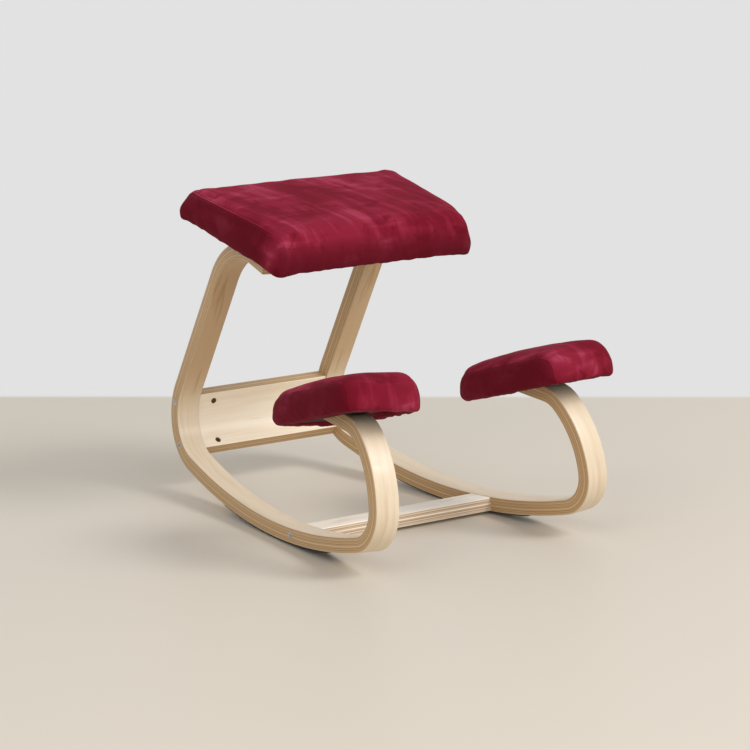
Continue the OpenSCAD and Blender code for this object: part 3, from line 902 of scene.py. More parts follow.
@dataclass
class BentLamination:
    """A lamination of one section, swept along straights and bends in a plane square to X."""

    start: Vector
    heading: float
    course: tuple[Bend | Straight, ...]
    width: float
    thickness: float
    corner_rounding: float = 0.0
    end_rounding: float = 0.0
    cuts: tuple[Cut, ...] = ()
    grain_across: bool = False
    # The stretch of the middle line where the wood is painted browner: partly its tone, partly painted shade.
    heart: tuple[float, float] = (-1.0, -1.0)
    heart_fade: float = 0.06
    spacing: float = 0.002
    smooth_angle: float = 32.0

    def middle_line(self) -> tuple[np.ndarray, np.ndarray, np.ndarray]:
        """Follows the middle line.

        Returns:
            Its points, its directions and its lengths from the start.
        """
        places, directions, lengths = [], [], []
        point, heading, total = self.start, self.heading, 0.0
        for leg in self.course:
            count = max(2, math.ceil(leg.length / self.spacing))
            for share in (i / count for i in range(count + 1)):
                places.append(tuple(leg.at(point, heading, share)))
                directions.append(tuple(along(heading + leg.turn * share)))
                lengths.append(total + leg.length * share)
            point = Vector(places[-1])
            heading += leg.turn
            total += leg.length
        return np.array(places), np.array(directions), np.array(lengths)

    def section(self, bm: bmesh.types.BMesh) -> Edges:
        """Draws the section at the start of the middle line.

        Args:
            bm: The bmesh that it goes into.

        Returns:
            The edges of its outline.
        """
        bmesh.ops.create_grid(bm, x_segments=1, y_segments=1, size=0.5)
        bmesh.ops.scale(bm, vec=(self.width, self.thickness, 1), verts=bm.verts)
        if self.corner_rounding:
            bmesh.ops.bevel(bm, geom=list(bm.verts), offset=self.corner_rounding, offset_type="OFFSET",
                            segments=4, profile=0.5, affect="VERTICES", material=-1)
        turn = Matrix((Vector((1, 0, 0)), across(self.heading), along(self.heading))).transposed().to_4x4()
        bmesh.ops.transform(bm, matrix=Matrix.Translation(self.start) @ turn, verts=bm.verts)
        bmesh.ops.delete(bm, geom=list(bm.faces), context="FACES_ONLY")
        return list(bm.edges)

    def swept(self) -> bmesh.types.BMesh:
        """Sweeps the section along the course and closes its ends.

        Returns:
            The closed body.
        """
        bm = bmesh.new()
        first = self.section(bm)
        edges = first
        point, heading = self.start, self.heading
        for leg in self.course:
            edges = leg.grow(bm, edges, point, heading)
            point = leg.at(point, heading, 1.0)
            heading += leg.turn
        for ring in (first, edges):
            bmesh.ops.contextual_create(bm, geom=ring)
        if self.end_rounding:
            caps = [f for f in bm.faces if len(f.verts) == len(first)][-2:]
            edges = [edge for cap in caps for edge in cap.edges]
            rims = [e for e in edges if abs((e.verts[0].co - e.verts[1].co).x) > self.width / 2]
            bmesh.ops.bevel(bm, geom=rims, offset=self.end_rounding, offset_type="OFFSET", segments=4,
                            profile=0.5, affect="EDGES", material=-1)
        return bm

    def cut_off(self, bm: bmesh.types.BMesh) -> None:
        """Cuts the closed body at each plane and closes it again.

        Args:
            bm: The closed body.
        """
        for cut in self.cuts:
            near = {v for v in bm.verts if (v.co - cut.point).length < cut.reach}
            parts = (*bm.verts, *bm.edges, *bm.faces)
            geometry = [part for part in parts if near.issuperset(getattr(part, "verts", (part,)))]
            made = bmesh.ops.bisect_plane(bm, geom=geometry, dist=MERGE_DISTANCE, plane_co=cut.point,
                                          plane_no=cut.normal, clear_outer=True)["geom_cut"]
            bmesh.ops.contextual_create(bm, geom=edges_in(made))

    def write_grain(self, mesh: bpy.types.Mesh) -> None:
        """Stores how far each point lies along the grain, through the plies and across the face, and where
        the wood is painted browner: partly its tone, partly painted shade.

        Args:
            mesh: The mesh, still in the lamination's own frame.
        """
        points = points_of(mesh)
        places, directions, lengths = self.middle_line()
        nearest = np.concatenate([
            np.argmin(((block[:, None, 1:] - places[None, :, 1:]) ** 2).sum(2), axis=1)
            for block in np.array_split(points, max(1, len(points) // 2000))
        ])
        gap = points - places[nearest]
        direction = directions[nearest]
        length = lengths[nearest] + (gap * direction).sum(1)
        normal = np.stack([np.zeros(len(direction)), -direction[:, 2], direction[:, 1]], axis=1)
        through = (gap * normal).sum(1)
        fields = (points[:, 0], through, length) if self.grain_across else (length, through, points[:, 0])
        store(mesh, "grain", np.stack(fields, axis=1))
        # Mask of the painted browner stretch: partly the wood's tone, partly painted shade.
        begins, ends = (smooth_step(length, at - self.heart_fade, at + self.heart_fade) for at in self.heart)
        store(mesh, "heart", begins * (1 - ends))

    def build(self, name: str, holes: list[Hole], place: Matrix) -> bpy.types.Object:
        """Makes the finished lamination.

        Args:
            name: The object's name.
            holes: Its holes, in its own frame.
            place: Its frame in the chair.

        Returns:
            The object, with its place in its mesh.
        """
        bm = self.swept()
        self.cut_off(bm)
        piece = to_object(name, bm)
        recalculated(piece.data)
        bored(piece, holes)
        self.write_grain(piece.data)
        piece.data.transform(place)
        recalculated(piece.data)
        piece.data.shade_smooth()
        piece.data.set_sharp_from_angle(angle=math.radians(self.smooth_angle))
        return piece


@dataclass
class RockerRunner:
    """One bent runner: knee end, front bend, rocker, rear bend, leg and seat arm."""

    side: Side
    width: float = 0.043
    thickness: float = 0.0264
    corner_rounding: float = 0.0022
    knee_end: Straight = Straight(0.084, 6)
    knee_bend: Bend = Bend(0.058, 34.0, 14)
    rise: Bend = Bend(0.17, 43.0, 20)
    front_bend: Bend = Bend(0.061, 83.0, 30)
    rocker_front: Bend = Bend(1.06, 15.0, 26)
    rocker_rear: Bend = Bend(1.06, 17.0, 28)
    rear_bend: Bend = Bend(0.087, 101.7, 34)
    leg: Straight = Straight(0.249182, 12)
    top_bend: Bend = Bend(0.112, 75.261, 28)
    arm: Straight = Straight(0.049269, 4)
    cloth: float = 0.0012
    knee_cut_reach: float = 0.2
    rear_bolt_angles: tuple[float, float] = (47.0, 100.0)
    front_bolt_s: float = 0.0595
    head_diameter: float = 0.0126
    head_depth: float = 0.0025
    seat_bolts_s: tuple[float, float] = (0.07754, 0.10277)
    knee_bolts: tuple[tuple[float, float], ...] = ((-0.002, 0.01665), (-0.028, 0.02715))
    recess_depth: float = 0.0045

    @property
    def course(self) -> tuple[Bend | Straight, ...]:
        """The middle line from the knee end to the end of the seat arm."""
        front = (self.knee_end, self.knee_bend, self.rise, self.front_bend, self.rocker_front)
        return front + (self.rocker_rear, self.rear_bend, self.leg, self.top_bend, self.arm)

    def start(self) -> tuple[Vector, float]:
        """Works back from the point of contact to the end of the knee arm.

        Returns:
            The end's middle and the heading there, back towards the floor.
        """
        heading = 180.0
        point = Vector((0, 0, self.thickness / 2))
        for leg in (self.rocker_front, self.front_bend, self.rise, self.knee_bend):
            centre = point - leg.radius * across(heading)
            heading -= leg.turn
            point = centre + leg.radius * across(heading)
        return point + along(heading) * self.knee_end.length, heading + 180.0

    def rocker_point(self, heading: float) -> Vector:
        """Gives the point of the rocker's middle line that has a heading, in the runner's frame."""
        centre = Vector((0, 0, self.thickness / 2 + self.rocker_rear.radius))
        return centre - self.rocker_rear.radius * across(heading)

    def rear_point(self, angle: float) -> Vector:
        """Gives the point of the rear bend's middle line that has a heading, in the runner's frame."""
        return self.rear_centre() - self.rear_bend.radius * across(angle)

    def rear_centre(self) -> Vector:
        """Gives the rear bend's centre in the runner's frame."""
        heading = self.rocker_rear.turn
        return self.rear_bend.centre(self.rocker_point(heading), heading)

    def front_bolt_tilt(self) -> float:
        """Gives the rocker's heading at the front crossbar's middle, in degrees."""
        return -math.degrees(math.asin(self.front_bolt_s / self.rocker_front.radius))

    def front_bolt(self) -> Vector:
        """Gives the front crossbar's middle in the runner's plane."""
        return self.rocker_point(self.front_bolt_tilt())

    def leg_tone_and_shade_stretch(self) -> tuple[float, float]:
        """Gives the stretch from the rear bend to the seat, where the wood is painted browner and darker:
        partly the veneer's tone, partly painted shade under the seat.
        """
        begins = sum(leg.length for leg in self.course[:-3])
        return begins, begins + self.leg.length + self.top_bend.length

    def cuts(self) -> tuple[Cut, ...]:
        """Gives the planes of the seat's cloth and of the knee cushion's cloth.

        Returns:
            The planes that the runner's two ends are cut off at.
        """
        into = LAYOUT.runner(self.side).inverted()
        point, up = Vector((0, 0, -self.cloth)), Vector((0, 0, 1))
        seat = Cut.square_to(into @ LAYOUT.seat(), point, up)
        return seat, Cut.square_to(into @ LAYOUT.knee(self.side), point, up, self.knee_cut_reach)

    def seat_bolt(self, s: float) -> Vector:
        """Finds where a bolt of the seat arm meets the seat's board.

        Args:
            s: The bolt's distance to the rear in the runner's frame.

        Returns:
            Its place in the seat's frame.
        """
        into = LAYOUT.seat().inverted() @ LAYOUT.runner(self.side)
        foot = into @ Vector((0, s, 0))
        rise = into @ Vector((0, s, 1)) - foot
        place = foot + rise * (-self.cloth - foot.z) / rise.z
        return Vector((place.x, place.y, 0))

    def recess_below(self, cushion: Matrix, place: Vector, wood: float) -> Hole:
        """Gives the recess of a cushion bolt's head in the wood's underside.

        Args:
            cushion: The cushion's frame.
            place: The bolt's place in it.
            wood: How thick the wood is at the bolt.

        Returns:
            The recess, in the runner's frame.
        """
        into = LAYOUT.runner(self.side).inverted() @ cushion
        mouth, floor = (place - Vector((0, 0, self.cloth + wood - depth)) for depth in (0, self.recess_depth))
        return Hole(into @ mouth, into @ floor, self.head_diameter)

    def holes(self) -> list[Hole]:
        """Lists the recesses of all bolt heads: on the outer face and under the two cushions.

        Returns:
            The recesses, in the runner's own frame.
        """
        seat, knee = LAYOUT.seat(), LAYOUT.knee(self.side)
        below = [self.recess_below(seat, self.seat_bolt(s), self.thickness) for s in self.seat_bolts_s]
        below += [self.recess_below(knee, Vector((0, y, 0)), wood) for y, wood in self.knee_bolts]
        places = [self.rear_point(angle) for angle in self.rear_bolt_angles] + [self.front_bolt()]
        outer, floor = (Vector((self.width / 2 - depth, 0, 0)) for depth in (0, self.head_depth))
        return below + [Hole(place + outer, place + floor, self.head_diameter) for place in places]

    def build(self, finish: bpy.types.Material) -> bpy.types.Object:
        """Makes the runner and lets it stand for its node.

        Args:
            finish: Its material.

        Returns:
            The runner.
        """
        start, heading = self.start()
        body = BentLamination(start, heading, self.course, self.width, self.thickness, self.corner_rounding,
                              cuts=self.cuts(), heart=self.leg_tone_and_shade_stretch())
        piece = body.build(self.side.named("bent_runner"), self.holes(), LAYOUT.runner(self.side))
        return finished(piece, finish, "runner_ply", self.side.named("runner"))


@dataclass
class Crossbars:
    """The curved rear panel and the flat front bar between the runners."""

    runner: RockerRunner
    span: float = 0.44
    rear_thickness: float = 0.021
    rear_start: float = 36.0
    rear_turn: float = 75.0
    rear_rounding: float = 0.0018
    front_depth: float = 0.052
    front_thickness: float = 0.024
    front_rounding: float = 0.003
    nut_in: float = 0.031
    nut_diameter: float = 0.0106
    nut_length: float = 0.014

    def runner_planes(self) -> tuple[Cut, ...]:
        """Gives the inner faces of both runners, which the crossbars are cut to."""
        inner = Vector((-self.runner.width / 2, 0, 0))
        return tuple(Cut.square_to(LAYOUT.runner(side), inner, Vector((1, 0, 0))) for side in Side)

    def nut_holes(self, place: Vector, heading: float, thickness: float, face: int) -> list[Hole]:
        """Gives the holes of a barrel nut at both ends of a crossbar.

        Args:
            place: The bolt's place in the runner's plane.
            heading: The heading of the crossbar's middle there, in degrees.
            thickness: The crossbar's thickness.
            face: 1 for the face on the left of the heading, -1 for the other.

        Returns:
            The holes, in the chair's frame.
        """
        middle = place - Vector((self.runner.width / 2 + self.nut_in, 0, 0))
        normal = across(heading) * face
        ends = (middle + normal * thickness / 2, middle - normal * self.nut_length / 2)
        return [Hole(*(LAYOUT.runner(side) @ end for end in ends), self.nut_diameter) for side in Side]

    def middle(self, place: Vector) -> Vector:
        """Brings a place of the runner's plane to its inner face and then to the chair's middle."""
        inner = LAYOUT.runner(Side.LEFT) @ (place - Vector((self.runner.width / 2, 0, 0)))
        return Vector((0, inner.y, inner.z))

    def build_rear(self, finish: bpy.types.Material) -> bpy.types.Object:
        """Makes the curved rear panel and lets it stand for its node.

        Args:
            finish: Its material.

        Returns:
            The panel.
        """
        runner = self.runner
        radius = runner.rear_bend.radius
        start = self.middle(runner.rear_centre()) - radius * across(self.rear_start)
        body = BentLamination(start, self.rear_start, (Bend(radius, self.rear_turn, 40),), self.span,
                              self.rear_thickness, end_rounding=self.rear_rounding, cuts=self.runner_planes(),
                              grain_across=True)
        holes = [
            hole for angle in runner.rear_bolt_angles
            for hole in self.nut_holes(runner.rear_point(angle), angle, self.rear_thickness, 1)
        ]
        piece = body.build("curved_rear_panel", holes, Matrix.Identity(4))
        return finished(piece, finish, "crossbar_ply", "rear_crossbar")

    def build_front(self, finish: bpy.types.Material) -> bpy.types.Object:
        """Makes the flat front bar and lets it stand for its node.

        Args:
            finish: Its material.

        Returns:
            The bar.
        """
        bolt, tilt = self.runner.front_bolt(), self.runner.front_bolt_tilt()
        start = self.middle(bolt) - along(tilt) * self.front_depth / 2
        body = BentLamination(start, tilt, (Straight(self.front_depth, 4),), self.span, self.front_thickness,
                              end_rounding=self.front_rounding, cuts=self.runner_planes(), grain_across=True)
        holes = self.nut_holes(bolt, tilt, self.front_thickness, -1)
        piece = body.build("flat_front_bar", holes, Matrix.Identity(4))
        return finished(piece, finish, "crossbar_ply", "front_crossbar")


# Cushions

@dataclass(frozen=True)
class CushionForm:
    """Sizes of a cushion in its own frame: X across, Y to the rear, Z = 0 on its board's underside.

    The block has `cells` rows of faces each way. The seam runs along the top edge, turns down at the front
    with the radius `seam_turn` and fades out between the two distances of `seam_fade` from the front. The
    hem lies `hem_drop` below the board, as wide as `hem_inset`, and hangs lower on one side by `hem_lean`.
    """

    front_w: float
    rear_w: float
    depth: float
    height: float
    crown: float
    corner_r: float
    edge_r: float
    roll_r: float
    cells: tuple[int, int, int]
    seam_turn: float
    seam_fade: tuple[float, float]
    seam_rise: float
    hem_r: float
    hem_wave: float
    hem_pucker: float
    corner_droop: float
    side_bulge: float
    wedge: float = 0.0
    bow: float = 0.0
    rear_roll: float = 0.0
    corner_rise: float = 0.0
    corner_flare: float = 0.0
    seam_inset: float = 0.0
    # How strong the seam's painted highlight and painted shade are.
    seam_light_and_shade: float = 1.0
    hem_lean: float = 0.0
    # How strong the painted shade at the foot of the front is.
    front_shade_share: float = 0.0
    roll_reach: float = 0.06
    hem_drop: float = 0.0035
    hem_inset: float = 0.033
    least_corner: float = 0.003
    swell_room: float = 0.0002
    wall_fade: tuple[float, float] = (0.01, 0.05)
    flare_sides: tuple[float, float] = (0.78, 1.0)
    flare_ends: tuple[float, float] = (0.70, 1.0)


@dataclass(frozen=True)
class Needlework:
    """Sizes of what seams, hems and arms leave in a cover. A pair says between where a mark fades."""

    ridge: float = 0.0015
    groove: float = 0.0018
    groove_at: float = 0.0036
    groove_share: float = 0.8
    pull: float = 0.008
    pull_depth: float = 0.0005
    pull_pucker: float = 0.2
    seam_foot: tuple[float, float] = (0.003, 0.012)
    band_edge: tuple[float, float] = (-0.002, 0.0015)
    soft_scale: float = 30.0
    soft_height: float = 0.0009
    soft_foot: tuple[float, float] = (0.0, 0.01)
    pucker_scale: float = 95.0
    scallop_scale: float = 62.0
    hem_reach: float = 0.012
    hem_foot: tuple[float, float] = (0.003, 0.016)
    hem_ring: float = 0.022
    droop_front: tuple[float, float] = (-0.055, -0.004)
    droop_side: tuple[float, float] = (0.72, 0.98)
    lean_lift: float = 0.3
    underside: float = 1e-4
    recess_edge: tuple[float, float] = (-0.0015, 0.0005)
    recess_height: float = 0.0004
    pressed_height: float = -0.00115
    arm_side: tuple[float, float] = (0.0225, 0.029)
    arm_front: tuple[float, float] = (0.058, 0.066)
    arm_rear: tuple[float, float] = (0.150, 0.175)
    # Where the painted shade at the foot of the front starts and fades.
    fall_start: float = 0.002
    fall_share: float = 0.72
    fall_front: tuple[float, float] = (0.001, 0.022)


SEAT_FORM = CushionForm(front_w=0.401, rear_w=0.447, depth=0.282, height=0.0575, wedge=0.017, crown=0.006,
                        corner_r=0.017, edge_r=0.009, roll_r=0.032, bow=0.002, cells=(46, 32, 10),
                        seam_turn=0.014, seam_fade=(0.018, 0.07), seam_rise=0.0008, hem_r=0.006,
                        hem_wave=0.0016, hem_pucker=0.0006, corner_droop=0.0032, side_bulge=0.0025,
                        corner_rise=0.005, corner_flare=0.010, seam_inset=0.0035, front_shade_share=0.82)
KNEE_FORM = CushionForm(front_w=0.156, rear_w=0.156, depth=0.272, height=0.054, crown=0.005, corner_r=0.039,
                        edge_r=0.027, roll_r=0.036, cells=(24, 34, 10), seam_turn=0.036,
                        seam_fade=(-0.02, -0.01), seam_rise=0.0002, hem_r=0.010, hem_wave=0.0026,
                        hem_pucker=0.0011, corner_droop=0.001, side_bulge=0.0015, rear_roll=0.016,
                        seam_light_and_shade=0.35, hem_lean=0.0065)


@dataclass(frozen=True)
class ClothSwell:
    """How the cover swells as cloth round its filling."""

    frames: int = 20
    quality: int = 6
    mass: float = 0.3
    stretch: float = 18.0
    bending: float = 1.2
    pressure: float = 3.0
    held_below: float = 0.004
    most: float = 0.0035

    def apply(self, piece: bpy.types.Object, rest: np.ndarray) -> None:
        """Lets a block swell, held along its hem, and keeps each point near where it was.

        Args:
            piece: The shaped block.
            rest: Its points before it swells.
        """
        held = piece.vertex_groups.new(name="hem")
        held.add([int(i) for i in np.nonzero(rest[:, 2] < self.held_below)[0]], 1.0, "REPLACE")
        swell = piece.modifiers.new("swell", "CLOTH")
        settings = swell.settings
        settings.quality = self.quality
        settings.mass = self.mass
        settings.tension_stiffness = self.stretch
        settings.compression_stiffness = self.stretch
        settings.bending_stiffness = self.bending
        settings.use_pressure = True
        settings.uniform_pressure_force = self.pressure
        settings.vertex_group_mass = held.name
        settings.effector_weights.gravity = 0
        swell.point_cache.frame_end = self.frames
        for step in range(1, self.frames + 1):
            bpy.context.scene.frame_set(step)
        apply_modifiers(piece)
        piece.vertex_groups.clear()
        moved = points_of(piece.data) - rest
        length = np.sqrt((moved ** 2).sum(1))
        share = np.minimum(1, self.most / np.maximum(length, 1e-9))
        set_points(piece.data, rest + moved * share[:, None])
        bpy.context.scene.frame_set(1)


@dataclass
class Cushion:
    """A velour cushion: a shaped block swollen as cloth, then seamed, puckered and hemmed."""

    name: str
    nodes: tuple[str, ...]
    form: CushionForm
    place: Matrix
    arms: tuple[Side, ...] = ()
    seed: float = 3.0
    lean_side: int = 1
    edge_closeness: float = 0.36
    marks: Needlework = Needlework()

    @property
    def half(self) -> tuple[float, float]:
        """Half the cushion's middle width and half its depth."""
        return (self.form.front_w + self.form.rear_w) / 4, self.form.depth / 2

    def block(self) -> bpy.types.Object:
        """Makes a closed cube of even rows, which becomes the cushion's box.

        Returns:
            The cube's object.
        """
        bm = bmesh.new()
        bmesh.ops.create_cube(bm, size=2)
        for axis, cells in enumerate(self.form.cells):
            rows = [e for e in bm.edges if abs((e.verts[0].co - e.verts[1].co)[axis]) > 1]
            bmesh.ops.subdivide_edges(bm, edges=rows, cuts=cells - 1, use_grid_fill=True)
        bmesh.ops.recalc_face_normals(bm, faces=bm.faces)
        return to_object(self.name, bm)

    def box_places(self, unit: np.ndarray) -> np.ndarray:
        """Spreads the cube's rows over the cushion's box, closer together at its edges.

        Args:
            unit: Places in the cube, from -1 to 1 each way.

        Returns:
            The places in the cushion's box.
        """
        spread = unit * (1 + self.edge_closeness - self.edge_closeness * unit ** 2)
        low, high = -self.form.hem_drop, self.form.height
        height = low + (spread[:, 2] + 1) / 2 * (high - low)
        return np.column_stack([spread[:, :2] * self.half, height])

    def distances(self, box: np.ndarray) -> dict[str, np.ndarray]:
        """Measures how far each place of the box lies from its walls, its top and its bottom.

        Args:
            box: Places in the cushion's box.

        Returns:
            The distances, by the face that they are measured from.
        """
        side = self.half[0] - np.abs(box[:, 0])
        front, rear = (self.half[1] + sign * box[:, 1] for sign in (1, -1))
        return {
            "outline": np.minimum(side, np.minimum(rear, front)),
            "band": np.minimum(side, rear),
            "front": front,
            "rear": rear,
            "top": self.form.height - box[:, 2],
            "bottom": box[:, 2] + self.form.hem_drop,
        }

    @staticmethod
    def rounded(
        inward: np.ndarray, down: np.ndarray, radius: np.ndarray | float
    ) -> tuple[np.ndarray, np.ndarray]:
        """Rounds the edge between a wall and a face.

        Args:
            inward: Distance of each place from the wall.
            down: Its distance from the face.
            radius: The edge's radius there.

        Returns:
            The rounded distances from the wall and from the face.
        """
        a, b = radius - inward, radius - down
        near = (a > 0) & (b > 0)
        length = np.sqrt(np.maximum(a * a + b * b, 1e-12))
        scale = np.maximum(a, b) / length
        return np.where(near, radius - a * scale, inward), np.where(near, radius - b * scale, down)

    def ringed(
        self, box: np.ndarray, from_edge: np.ndarray, inward: np.ndarray, turn: np.ndarray
    ) -> np.ndarray:
        """Moves each place to the rounded outline that lies at a given distance inside the cushion's own.

        Args:
            box: Places in the cushion's box.
            from_edge: Their distances from the box's outline.
            inward: The distances that they get.
            turn: The corner radius of the cushion's own outline at each place.

        Returns:
            Their X and Y.
        """
        half = np.array(self.half)
        room = np.maximum(half - from_edge[:, None], 1e-4)
        scaled = box[:, :2] * (1 + (from_edge - inward)[:, None] / room)
        corner = np.maximum(turn - inward, self.form.least_corner)[:, None]
        core = np.maximum(half - inward[:, None] - corner, 0)
        inner = np.clip(scaled, -core, core)
        out = scaled - inner
        length = np.sqrt((out ** 2).sum(1))[:, None]
        return inner + out / np.maximum(length, 1e-9) * np.abs(out).max(1)[:, None]

    def shaped(self, box: np.ndarray) -> np.ndarray:
        """Shapes the box's places into the cushion.

        Args:
            box: Places in the cushion's box.

        Returns:
            The same places on the cushion.
        """
        form = self.form
        half_x, half_y = self.half
        gap = self.distances(box)
        roll, rear_roll = (np.clip(1 - gap[end] / form.roll_reach, 0, 1) for end in ("front", "rear"))
        radius = form.edge_r + (form.roll_r - form.edge_r) * roll + form.rear_roll * rear_roll
        inward, down = self.rounded(gap["outline"], gap["top"], radius)
        inward, up = self.rounded(inward, gap["bottom"], form.hem_r)
        z = np.where(gap["top"] < gap["bottom"], form.height - down, up - form.hem_drop)

        # Walls that bulge out at half their height, and lower corners that flare
        low = form.hem_r - form.hem_drop
        share = np.clip((z - low) / (form.height - radius - low), 0, 1)
        near_wall = 1 - smooth_step(gap["outline"], *form.wall_fade)
        inward = inward + (form.swell_room + form.side_bulge * (2 * share - 1) ** 2) * near_wall
        x, y = self.ringed(box, gap["outline"], inward, form.corner_r + form.corner_rise * share).T
        wide = form.front_w + (form.rear_w - form.front_w) * (y / form.depth + 0.5)
        x = x * wide / (2 * half_x) + form.bow * (1 - (y / half_y) ** 2) * x / half_x
        by_corner = smooth_step(np.abs(x) / half_x, *form.flare_sides)
        by_corner *= smooth_step(np.abs(y) / half_y, *form.flare_ends)
        flare = form.corner_flare * by_corner * (1 - share) ** 2 * (0.7 + 2.4 * share)
        x = x + flare * np.sign(x)
        y = y + flare / 2 * np.sign(y)

        # A domed top on a wedge
        dome = np.clip(1 - (x / half_x) ** 2, 0, 1) * np.clip(1 - (y / half_y) ** 2, 0, 1)
        lift = form.crown * dome - form.wedge * y / form.depth - form.swell_room
        return np.stack([x, y, z + np.clip(z, 0, None) / form.height * lift], axis=1)

    def from_seam(self, gap: dict[str, np.ndarray]) -> np.ndarray:
        """Measures how far each place lies from the seam between the side band and the top.

        The seam follows the top edge round the sides and the rear, and turns down at the front corners.

        Args:
            gap: The distances from the box's faces.

        Returns:
            The distances, negative on the band.
        """
        turn = self.form.seam_turn
        down, back = (np.maximum(turn - gap[face], 0) for face in ("top", "front"))
        round_corner = turn - np.sqrt(down ** 2 + back ** 2)
        face = np.where((down > 0) & (back > 0), round_corner, np.minimum(gap["top"], gap["front"]))
        return gap["band"] - face - self.form.seam_inset

    def front_shade_mask(self, gap: dict[str, np.ndarray]) -> np.ndarray:
        """Gives the painted shade of the front: 0 on the top, rising to 1 at the foot of the front.

        Args:
            gap: The distances from the box's faces.

        Returns:
            The share at each place.
        """
        low = smooth_step(gap["top"], self.marks.fall_start, self.form.height * self.marks.fall_share)
        return low * (1 - smooth_step(gap["front"], *self.marks.fall_front))

    def arm_press(self, points: np.ndarray) -> np.ndarray:
        """Finds where the runners' arms press the hem flat.

        Args:
            points: Places in the cushion's own frame.

        Returns:
            1 over an arm, fading to 0 beside it.
        """
        pressed = np.zeros(len(points))
        for side in self.arms:
            into = np.array(LAYOUT.runner(side).inverted() @ self.place)
            across_arm, along_arm, _ = (points @ into[:3, :3].T + into[:3, 3]).T
            beside = 1 - smooth_step(np.abs(across_arm), *self.marks.arm_side)
            begun = smooth_step(along_arm, *self.marks.arm_front)
            ended = smooth_step(along_arm, *self.marks.arm_rear)
            pressed = np.maximum(pressed, beside * begun * (1 - ended))
        return pressed

    def sewn(self, mesh: bpy.types.Mesh, gap: dict[str, np.ndarray]) -> np.ndarray:
        """Raises the seam and the puckers of the fine mesh, and stores what the cloth's colour follows.

        Args:
            mesh: The mesh of the subdivided cushion, in its own frame.
            gap: The distances from the box's faces.

        Returns:
            The new points.
        """
        form, marks = self.form, self.marks
        points = points_of(mesh)
        from_seam = self.from_seam(gap)
        from_front = smooth_step(gap["front"], *form.seam_fade)
        held = from_front * smooth_step(gap["bottom"], *marks.seam_foot)
        ridge = np.exp(-(from_seam / marks.ridge) ** 2)
        groove = np.exp(-((np.abs(from_seam) - marks.groove_at) / marks.groove) ** 2)
        mark = (ridge - marks.groove_share * groove) * held
        pull = np.exp(-(from_seam / marks.pull) ** 2) * held
        # The seam's painted highlight on its ridge and painted shade in its groove.
        store(mesh, "seam", mark * form.seam_light_and_shade)
        # The painted shade at the foot of the front.
        store(mesh, "fall", form.front_shade_share * self.front_shade_mask(gap))
        # The side band's darker colour: partly its nap, partly painted shade.
        store(mesh, "band", (1 - smooth_step(from_seam, *marks.band_edge)) * from_front)

        soft = waves(points, marks.soft_scale, self.seed)
        pucker = waves(points * (1, 1, 0.25), marks.pucker_scale, self.seed + 9)
        by_hem = np.exp(-gap["bottom"] / marks.hem_reach)
        height = form.seam_rise * mark - marks.pull_depth * pull
        height += marks.soft_height * soft * smooth_step(gap["bottom"], *marks.soft_foot)
        height += (by_hem + marks.pull_pucker * pull) * form.hem_pucker * pucker
        return points + read_rows(mesh.vertex_normals, "vector") * height[:, None]

    def hemmed(
        self, points: np.ndarray, sewn: np.ndarray, box: np.ndarray, gap: dict[str, np.ndarray]
    ) -> None:
        """Lets the hem hang loose, presses it flat on the arms and sinks the recess inside it.

        Args:
            points: The points before the seam was raised, which place the waves of the hem.
            sewn: The points that are moved.
            box: The same places in the cushion's box.
            gap: Their distances from the box's faces.
        """
        form, marks = self.form, self.marks
        scallop = waves(points * (1, 1, 0), marks.scallop_scale, self.seed + 5)
        corner = smooth_step(-gap["front"], *marks.droop_front)
        corner *= smooth_step(np.abs(box[:, 0]) / self.half[0], *marks.droop_side)
        hem = 1 - smooth_step(gap["bottom"], *marks.hem_foot)
        hem *= 1 - smooth_step(gap["outline"], marks.hem_ring, form.hem_inset)
        low_side = np.clip(self.lean_side * sewn[:, 0] / self.half[0], -1, 1) / 2 + 0.5
        sag = form.hem_lean * ((1 + marks.lean_lift) * low_side - marks.lean_lift)
        taut = (1 - low_side) * min(1.0, form.hem_lean / form.hem_drop)
        loose = form.hem_wave * (0.5 + scallop) * (1 - taut)
        sewn[:, 2] -= hem * (loose + form.corner_droop * corner + sag)
        begins, ends = (form.hem_inset + edge for edge in marks.recess_edge)
        recess = smooth_step(gap["outline"], begins, ends)
        sunk = np.where(gap["bottom"] < marks.underside, recess, 0)
        sewn[:, 2] += (marks.recess_height - sewn[:, 2]) * sunk
        flat = np.where(sewn[:, 2] < marks.pressed_height, self.arm_press(sewn), 0)
        sewn[:, 2] += (marks.pressed_height - sewn[:, 2]) * flat

    def build(self, finish: bpy.types.Material) -> bpy.types.Object:
        """Makes the finished cushion and lets it stand for its cover and its foam.

        Args:
            finish: Its material.

        Returns:
            The cushion.
        """
        piece = self.block()
        box = self.box_places(points_of(piece.data))
        rest = self.shaped(box)
        set_points(piece.data, rest)
        store(piece.data, "box", box)
        ClothSwell().apply(piece, rest)
        finer = piece.modifiers.new("finer", "SUBSURF")
        finer.levels = 2
        finer.render_levels = 2
        apply_modifiers(piece)
        mesh = piece.data
        box = read_rows(mesh.attributes["box"].data, "vector")
        mesh.attributes.remove(mesh.attributes["box"])
        gap = self.distances(box)
        sewn = self.sewn(mesh, gap)
        self.hemmed(points_of(mesh), sewn, box, gap)
        set_points(mesh, sewn)
        store(mesh, "lay", points_of(mesh) + self.seed)
        mesh.transform(self.place)
        recalculated(mesh)
        mesh.shade_smooth()
        finished(piece, finish, "cover_cloth", *self.nodes)
        return piece


# Nodes that keep their own meshes

